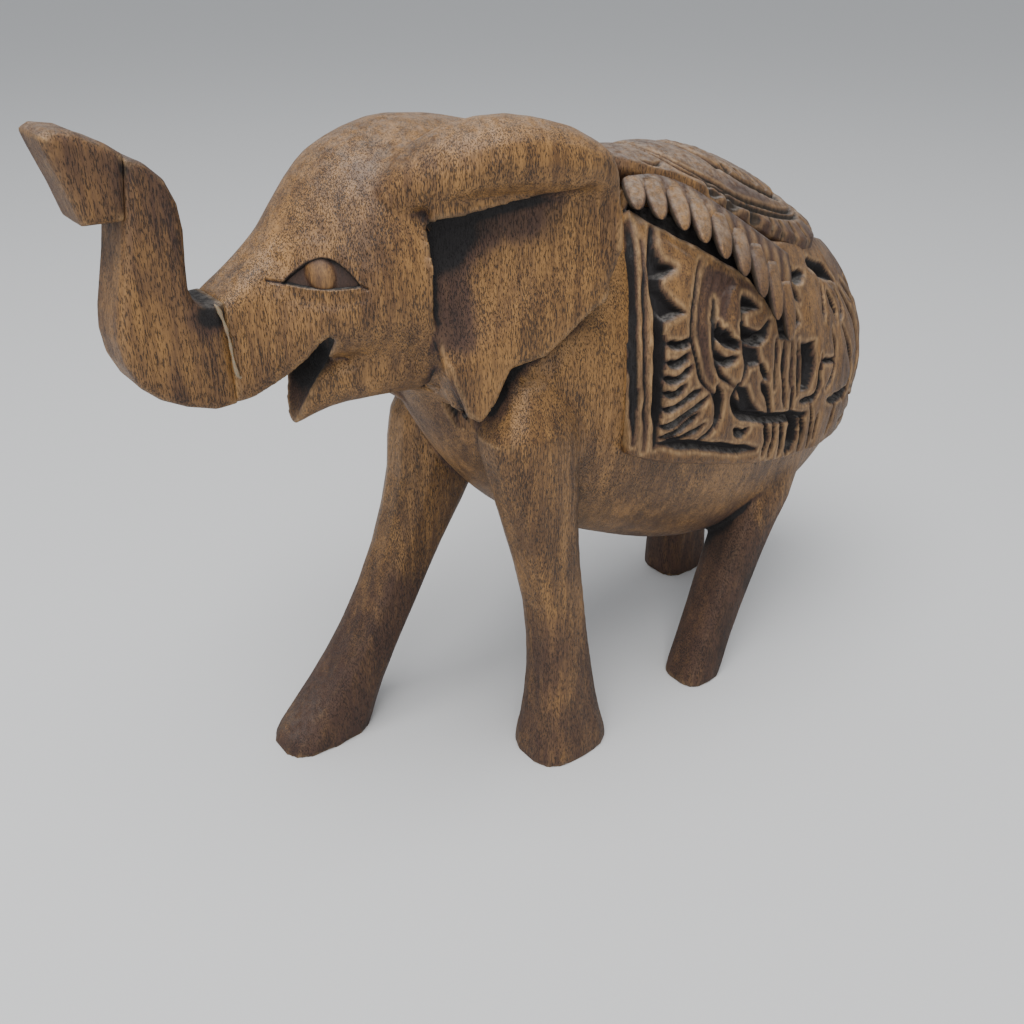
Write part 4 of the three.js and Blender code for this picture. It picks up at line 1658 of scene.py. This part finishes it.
class ELEPHANT_OT_glue(bpy.types.Operator):
    """Lay the dried run of glue along the lower joint of the trunk"""

    bl_idname = "elephant.glue"
    bl_label = "Dried glue"

    SIDES = 14
    STEPS = 90
    PATH = [
        (5.9, 20.4, 116.3), (6.2, 20.8, 115.6), (6.05, 21.3, 114), (6.1, 21.7, 112),
        (6.0, 22, 110), (6.05, 22.1, 108), (6.1, 22.2, 106), (6.15, 22.4, 104.4),
        (6.0, 22.8, 103.4), (5.9, 23.4, 103.3),
    ]
    HALF_WIDTHS = [0.12, 0.42, 0.2, 0.34, 0.16, 0.3, 0.18, 0.3, 0.42, 0.16]

    def execute(self, context):
        make_materials()
        track = rounded(self.PATH, self.STEPS)
        places = np.linspace(0, 1, len(self.HALF_WIDTHS))
        radius = np.interp(np.linspace(0, 1, self.STEPS), places, self.HALF_WIDTHS)
        points = []
        ahead = np.gradient(track, axis=0)
        ahead /= np.linalg.norm(ahead, axis=1, keepdims=True)
        for p, a, r in zip(track, ahead, radius):
            across = np.cross(a, [1.0, 0, 0])
            across /= np.linalg.norm(across)
            out = np.cross(across, a)
            for k in range(self.SIDES):
                turn = 2 * math.pi * k / self.SIDES
                points.append(p + r * (across * math.cos(turn) + 0.8 * out * math.sin(turn)))
        count = len(points)
        faces = tube_faces(len(track), self.SIDES)
        faces += fan_faces(range(self.SIDES), count)
        faces += fan_faces(range(count - self.SIDES, count), count + 1)
        piece = new_object("glue_bead", points + [track[0], track[-1]], faces)
        point_out(piece)
        finish_piece(piece, ["trunk_glue_bead"], materials["glue"])
        return {"FINISHED"}


# ------------------------------------------------------------------ saddle


class ELEPHANT_OT_cloth(bpy.types.Operator):
    """Carve the saddle cloth on both sides of the body"""

    bl_idname = "elephant.cloth"
    bl_label = "Saddle cloth"

    COLUMNS = 285
    ROWS = 160
    LENGTH, DEPTH = 114, 52  # the panel's rough size, for its rounded rim

    def execute(self, context):
        make_materials()
        sizes = context.scene.elephant_sizes
        wrap = Wrap(sizes.cloth_height)
        places = patch(
            CLOTH_BOTTOM, CLOTH_TOP, CLOTH_FRONT, CLOTH_REAR, self.COLUMNS, self.ROWS
        )
        back, up = places[..., 0], places[..., 1]
        base, normal = wrap.grid(places)
        work = cloth_relief(back, up)
        i = np.arange(self.ROWS)[:, None] / (self.ROWS - 1)
        j = np.arange(self.COLUMNS)[None, :] / (self.COLUMNS - 1)
        rim = np.minimum(np.minimum(i, 1 - i) * self.DEPTH, np.minimum(j, 1 - j) * self.LENGTH)
        height = work.heights(sizes.pillow) - 1.1 * (1 - ease(rim / 1.1)) ** 2
        height = height + 0.2 * noise_over(back, up, 3.2, 5.5, 3.0)
        outer = base + normal * height[..., None]
        under = base - normal * (sizes.cloth_height + 2.0)
        # Staining in and round the cuts and in sunk areas; in the cuts it rises into the near-black
        # painted shadow.
        stain_and_shade_level = 1.1 * ease(work.cuts / 1.15) + 0.4 * np.exp(-work.open / 0.8)
        stain_and_shade_level += 0.4 * ease(-work.raised / 0.5) + 0.16
        edge = 0.9 * np.exp(-(((work.open - 0.8) / 0.5) ** 2)) * (work.cuts < 0.2)
        marks = (stain_and_shade_level.clip(0, 1.1), edge)
        for side, mirror in (("left", False), ("right", True)):
            node_name = f"saddle_cloth_{side}"
            piece = thin_shell("carved_" + node_name, outer, under, marks, mirror)
            finish_piece(piece, [node_name], materials["carving"])
        return {"FINISHED"}


# Where each lappet hangs from, and where its tip comes to, as (back, up).
LAPPET_ROOTS = [
    (104.4, 125.2), (108.6, 124.6), (112.8, 122.8), (117, 120.4), (121.2, 117.4),
    (125.6, 114), (129.8, 110.6), (134, 106.6), (138, 102),
]
LAPPET_TIPS = [
    (100.3, 120.6), (104, 118.2), (108.4, 115.8), (112.6, 113.2), (117, 110),
    (121.6, 106.4), (126.2, 101.8), (130.8, 96.8), (136.2, 91.6),
]
# The band that the lappets hang from.
BAND_TOP = [(104.6, 125.9), (112, 125.3), (117.5, 123), (122.5, 119.6), (134, 112), (142.6, 106.6)]
BAND_BOTTOM = [
    (102.4, 122.8), (107.4, 122.4), (111.8, 120.6), (116.2, 118), (124.4, 111.6), (133, 104),
    (139.6, 98.4),
]


def lappet_tree():
    """Geometry Nodes that hang one lappet on every root, along its own direction."""
    tree = bpy.data.node_groups.new("Row of lappets", "GeometryNodeTree")
    sockets = {
        "Geometry": "Geometry", "Lappet": "Object", "Width": "Float", "Thickness": "Float",
        "Material": "Material",
    }
    for label, kind in sockets.items():
        tree.interface.new_socket(label, in_out="INPUT", socket_type="NodeSocket" + kind)
    tree.interface.new_socket("Geometry", in_out="OUTPUT", socket_type="NodeSocketGeometry")
    start, end = tree.nodes.new("NodeGroupInput"), tree.nodes.new("NodeGroupOutput")

    def add(kind, **settings):
        made = tree.nodes.new(kind)
        for key, value in settings.items():
            setattr(made, key, value)
        return made

    def named(label, kind):
        made = add("GeometryNodeInputNamedAttribute", data_type=kind)
        made.inputs["Name"].default_value = label
        return made.outputs["Attribute"]

    link = tree.links.new
    info = add("GeometryNodeObjectInfo")
    link(start.outputs["Lappet"], info.inputs["Object"])
    turn_out = add("FunctionNodeAlignRotationToVector", axis="Z")
    link(named("outward", "FLOAT_VECTOR"), turn_out.inputs["Vector"])
    turn_down = add("FunctionNodeAlignRotationToVector", axis="Y", pivot_axis="Z")
    link(turn_out.outputs["Rotation"], turn_down.inputs["Rotation"])
    link(named("hang", "FLOAT_VECTOR"), turn_down.inputs["Vector"])
    size = add("ShaderNodeCombineXYZ")
    link(start.outputs["Width"], size.inputs["X"])
    link(named("reach", "FLOAT"), size.inputs["Y"])
    link(start.outputs["Thickness"], size.inputs["Z"])
    spread = add("GeometryNodeInstanceOnPoints")
    link(start.outputs["Geometry"], spread.inputs["Points"])
    link(info.outputs["Geometry"], spread.inputs["Instance"])
    link(turn_down.outputs["Rotation"], spread.inputs["Rotation"])
    link(size.outputs["Vector"], spread.inputs["Scale"])
    real = add("GeometryNodeRealizeInstances")
    link(spread.outputs["Instances"], real.inputs["Geometry"])
    finish = add("GeometryNodeSetMaterial")
    link(real.outputs["Geometry"], finish.inputs["Geometry"])
    link(start.outputs["Material"], finish.inputs["Material"])
    link(finish.outputs["Geometry"], end.inputs["Geometry"])
    return tree


def lappet_shape():
    """One tongue of wood, one unit long, wide and thick: round on top, with a blunt point."""
    rows, sides = 15, 18
    points, stain_and_shade_level = [], []
    for r in range(rows):
        f = r / (rows - 1)
        taper = math.sqrt(max(0.0, 1 - max(0.0, (f - 0.4) / 0.61) ** 3.4))
        wide = 0.5 * (0.86 + 0.14 * math.sin(math.pi * min(1, f * 1.3))) * taper
        thick = 0.5 * (1 - 0.35 * f) * math.sqrt(max(0.02, 1 - f**6))
        for s in range(sides):
            turn = 2 * math.pi * s / sides
            c, v = math.cos(turn), math.sin(turn)
            px = wide * math.copysign(abs(c) ** 0.7, c)
            pz = thick * math.copysign(abs(v) ** 0.8, v)
            points.append((px, f, pz + 0.16 * math.sin(math.pi * f)))
            # Painted shade on the lappet's sides and near its tip, and more on its underside.
            shade = 0.16 + 1.3 * max(0.0, c**2 - 0.35) + 0.3 * max(0.0, f - 0.8)
            stain_and_shade_level.append(shade + (0.4 if v < -0.3 else 0))
    count = len(points)
    faces = tube_faces(rows, sides) + fan_faces(range(sides), count)
    faces += fan_faces(range(count - sides, count), count + 1)
    points += [(0, 0, 0), (0, 1.002, 0)]
    stain_and_shade_level += [0.8, 0.6]
    mesh = bpy.data.meshes.new("lappet")
    mesh.from_pydata(points, [], faces)
    mesh.shade_smooth()
    piece = bpy.data.objects.new("lappet", mesh)
    bpy.context.scene.collection.objects.link(piece)
    point_out(piece)
    store(mesh, "stain_and_shade_level", stain_and_shade_level)
    store(mesh, "edge", np.full(len(points), 0.12))
    return piece


class ELEPHANT_OT_fringe(bpy.types.Operator):
    """Hang the row of lappets below the pad on both sides"""

    bl_idname = "elephant.fringe"
    bl_label = "Fringe of lappets"

    COLUMNS = 150
    ROWS = 18
    CURLS = 11

    def execute(self, context):
        make_materials()
        sizes = context.scene.elephant_sizes
        wrap = Wrap(sizes.fringe_height)
        front = [BAND_BOTTOM[0], BAND_TOP[0]]
        rear = [BAND_BOTTOM[-1], BAND_TOP[-1]]
        places = patch(BAND_BOTTOM, BAND_TOP, front, rear, self.COLUMNS, self.ROWS)
        base, normal = wrap.grid(places)
        v = np.linspace(0, 1, self.ROWS)[:, None] * np.ones(self.COLUMNS)
        run = np.linspace(0, 1, self.COLUMNS)[None] * np.ones((self.ROWS, 1))
        curl = np.sin(run * math.pi * self.CURLS) ** 2
        height = 0.35 * np.sin(math.pi * v) ** 0.7 + 0.3 * curl * np.sin(math.pi * v) - 0.1
        outer = base + normal * height[..., None]
        under = base - normal * (sizes.fringe_height + 0.6)
        stain_and_shade_level = 0.35 * (1 - np.sin(math.pi * v)) + 0.35 * (1 - curl) + 0.1
        edge = 0.4 * curl * np.sin(math.pi * v)
        roots = wrap.place(*np.array(LAPPET_ROOTS).T)
        tips = wrap.place(*np.array(LAPPET_TIPS).T)
        tree, shape = lappet_tree(), lappet_shape()
        for side, mirror in (("left", False), ("right", True)):
            node_name = f"saddle_fringe_{side}"
            band = thin_shell("band", outer, under, (stain_and_shade_level, edge), mirror)
            row = self.lappets(sizes, tree, shape, roots, tips, mirror)
            piece = joined("carved_" + node_name, [band, row])
            piece.data.shade_smooth()
            finish_piece(piece, [node_name], materials["carving"])
        drop(shape)
        return {"FINISHED"}

    def lappets(self, sizes, tree, shape, roots, tips, mirror):
        flip = np.array([-1.0 if mirror else 1.0, 1, 1])
        outward = (roots + tips) / 2 - [0, 118, 84]
        outward[:, 1] *= 0.2
        outward /= np.linalg.norm(outward, axis=1, keepdims=True)
        lifted = roots - outward * 0.5
        hang = 1.12 * (tips + outward * 0.25 - lifted)
        reach = np.linalg.norm(hang, axis=1) * MM
        row = new_object("lappets", lifted * flip, [])
        for label, values in (("outward", outward * flip), ("hang", hang * flip)):
            layer = row.data.attributes.new(label, "FLOAT_VECTOR", "POINT")
            layer.data.foreach_set("vector", values.astype(np.float32).ravel())
        store(row.data, "reach", reach)
        change = row.modifiers.new("Lappets", "NODES")
        change.node_group = tree
        wanted = {
            "Lappet": shape,
            "Width": sizes.lappet_width * MM,
            "Thickness": sizes.lappet_thickness * MM,
            "Material": materials["carving"],
        }
        for item in tree.interface.items_tree:
            if item.in_out == "INPUT" and item.name in wanted:
                change[item.identifier] = wanted[item.name]
        return settled(row)


PAD_OUTLINE = [
    (0, 100.4), (4.2, 101.8), (7.8, 105), (12, 111.6), (15, 117.4), (18, 122.6), (20.2, 130),
    (20.8, 138), (20.4, 148), (18.6, 156), (14.4, 161.6), (8, 164), (0, 164.6),
]
PAD_GROOVE = [
    (0, 114.3), (4, 114.8), (7.8, 116.2), (11.3, 118.4), (13.8, 121.6), (15.9, 125.6),
    (17.4, 130), (17.2, 138), (15.6, 147), (12.4, 154), (7, 158.6), (0, 160.2),
]
SEAT_GROOVE = [
    (0, 124.6), (4.6, 125.6), (8.6, 128), (11.4, 131.6), (12.8, 136), (12.9, 143),
    (11.4, 149.4), (7.4, 153.6), (0, 155.6),
]
PAD_CUTS = [
    ([(18.4, 138.4), (20.4, 139.2)], 0.8, 1.2),
    ([(18.2, 142.4), (20.6, 143)], 0.8, 1.2),
    ([(17.6, 147), (19.8, 148.2)], 0.8, 1.1),
    ([(16.2, 152), (18.4, 154)], 0.8, 1.1),
    ([(12.6, 157), (14, 160)], 0.8, 1.0),
    ([(7.8, 160.4), (8.6, 163)], 0.8, 1.0),
    ([(14.6, 122.6), (16.6, 122.2), (17.4, 124.4)], 0.9, 1.0),
    ([(16.2, 126.4), (18.4, 126.2), (18.8, 129)], 0.9, 1.0),
    ([(17.6, 132), (19.6, 132.2), (19.8, 135)], 0.9, 1.0),
    ([(8.6, 110), (10.2, 112.2), (9.6, 114.6)], 0.6, 0.6),
]


class ELEPHANT_OT_pad(bpy.types.Operator):
    """Carve the pad on top of the back"""

    bl_idname = "elephant.pad"
    bl_label = "Saddle pad"

    RINGS = 92

    def execute(self, context):
        make_materials()
        spokes = context.scene.elephant_sizes.rim_steps // 4 * 4
        half = rounded(PAD_OUTLINE, spokes // 2 + 1)
        loop = np.vstack([half[:-1], (half * [-1, 1])[::-1][:-1]])
        middle = np.array([0, 134.0])
        fall = np.linspace(0, 1, self.RINGS + 1)[1:, None]
        flat = middle + fall[..., None] * (loop - middle)[None]
        x, t = flat[..., 0], flat[..., 1]
        base, normal = self.drape(body_tree(PAD_HEIGHT), x, t)
        work = self.carve(x, t)
        height = work.heights(0.4) - 1.5 * ease((fall - 0.95) / 0.05) ** 2
        seat = inside(np.abs(x), t, SEAT_GROOVE + [(-20, 155.6), (-20, 124.6)])
        rough = noise_over(x, t, 1.1, 1.1, 7.0)
        height = height + 0.35 * ease(seat / 2) + 0.12 * rough * ease((t - 120) / 6)
        outer = base + normal * height[..., None]
        under = base - normal * (PAD_HEIGHT + 0.8)
        # Staining in the cuts, rising into the near-black painted shadow at their bottom.
        stain_and_shade_level = 1.05 * ease(work.cuts / 0.8) + 0.24
        stain_and_shade_level += 0.25 * ease((np.abs(x) - 11) / 6) * ease((t - 121) / 5)
        edge = 0.5 * np.exp(-(((work.open - 0.45) / 0.35) ** 2))
        self.build(outer, under, stain_and_shade_level, edge)
        return {"FINISHED"}

    def carve(self, x, t):
        """Two grooves round the rim, one round the seat, and the short cuts between them."""
        work = Relief(np.abs(x), t)
        for shift in (0, 1.15):
            line = []
            for p, q in PAD_GROOVE:
                ahead = -shift if q < 120 else shift * (q > 150)
                line.append((p + shift * p / 17.4, q + ahead))
            work.groove(line, 0.55, 0.75, 0.01)
        work.groove(SEAT_GROOVE, 1.0, 1.1, 0.01)
        for line, width, depth in PAD_CUTS:
            work.groove(line, width, depth)
        for back in np.arange(128, 152, 4.0):
            work.groove([(9.4, back), (11.6, back + 1.4)], 0.9, 0.8)
        for back in (131, 137, 143, 149):
            work.groove([(1.2, back - 2), (3.8, back - 0.6), (5.4, back + 2)], 1.0, 0.9)
        return work

    def drape(self, tree, x, t):
        """Lays the plan view of the pad on the body from above."""
        base = np.empty(x.shape + (3,))
        normal = np.empty(x.shape + (3,))
        for i in range(x.shape[0]):
            for j in range(x.shape[1]):
                hit = tree.ray_cast(Vector((x[i, j], t[i, j], 200)), Vector((0, 0, -1)))
                base[i, j] = hit[0]
                normal[i, j] = hit[1]
        for _ in range(10):
            turned = (np.roll(normal, 1, 1) + np.roll(normal, -1, 1)) / 2
            turned[1:-1] = (turned[1:-1] + (normal[:-2] + normal[2:]) / 2) / 2
            normal = turned / np.linalg.norm(turned, axis=2, keepdims=True)
        return base, normal

    def build(self, outer, under, stain_and_shade_level, edge):
        """Closes the carved top with rings that follow its underside."""
        rings, spokes = outer.shape[:2]
        points = list(outer.reshape(-1, 3))
        marks = list(zip(stain_and_shade_level.ravel(), edge.ravel()))
        faces = tube_faces(rings, spokes)
        last = np.arange(spokes) + (rings - 1) * spokes
        for share in (1.0, 0.9, 0.75, 0.5, 0.25):
            fresh = np.arange(spokes) + len(points)
            points += list(under[max(0, int(share * rings) - 1)])
            marks += [(0.6, 0)] * spokes
            faces += strip_faces(last, fresh)
            last = fresh
        faces += fan_faces(range(spokes), len(points)) + fan_faces(last, len(points) + 1)
        points += [outer[0].mean(0), under[0].mean(0)]
        marks += [(0.2, 0), (0.6, 0)]
        piece = new_object("carved_saddle_pad", points, faces)
        point_out(piece)
        store(piece.data, "stain_and_shade_level", np.array(marks)[:, 0])
        store(piece.data, "edge", np.array(marks)[:, 1])
        finish_piece(piece, ["saddle_pad"], materials["carving"])


# ------------------------------------------------------------------ panel and run


class ELEPHANT_PT_panel(bpy.types.Panel):
    """Builds the elephant piece by piece"""

    bl_label = "Carved elephant"
    bl_idname = "ELEPHANT_PT_panel"
    bl_space_type = "VIEW_3D"
    bl_region_type = "UI"
    bl_category = "Elephant"

    def draw(self, context):
        for operator in OPERATORS:
            self.layout.operator(operator.bl_idname)
        for settings in (context.scene.elephant_sizes, context.scene.elephant_colours):
            box = self.layout.box()
            for label in settings.__annotations__:
                box.prop(settings, label)


OPERATORS = (
    ELEPHANT_OT_stage,
    ELEPHANT_OT_block,
    ELEPHANT_OT_trunk,
    ELEPHANT_OT_eyes,
    ELEPHANT_OT_glue,
    ELEPHANT_OT_cloth,
    ELEPHANT_OT_fringe,
    ELEPHANT_OT_pad,
)
CLASSES = (ElephantSizes, ElephantColours, *OPERATORS, ELEPHANT_PT_panel)


def register():
    for one in CLASSES:
        bpy.utils.register_class(one)
    bpy.types.Scene.elephant_sizes = PointerProperty(type=ElephantSizes)
    bpy.types.Scene.elephant_colours = PointerProperty(type=ElephantColours)


def unregister():
    del bpy.types.Scene.elephant_sizes
    del bpy.types.Scene.elephant_colours
    for one in reversed(CLASSES):
        bpy.utils.unregister_class(one)


def main():
    """Registers the add-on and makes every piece."""
    register()
    bpy.ops.elephant.stage()
    bpy.ops.elephant.block()
    bpy.ops.elephant.trunk()
    bpy.ops.elephant.eyes()
    bpy.ops.elephant.glue()
    bpy.ops.elephant.cloth()
    bpy.ops.elephant.fringe()
    bpy.ops.elephant.pad()


if __name__ == "__main__":
    main()
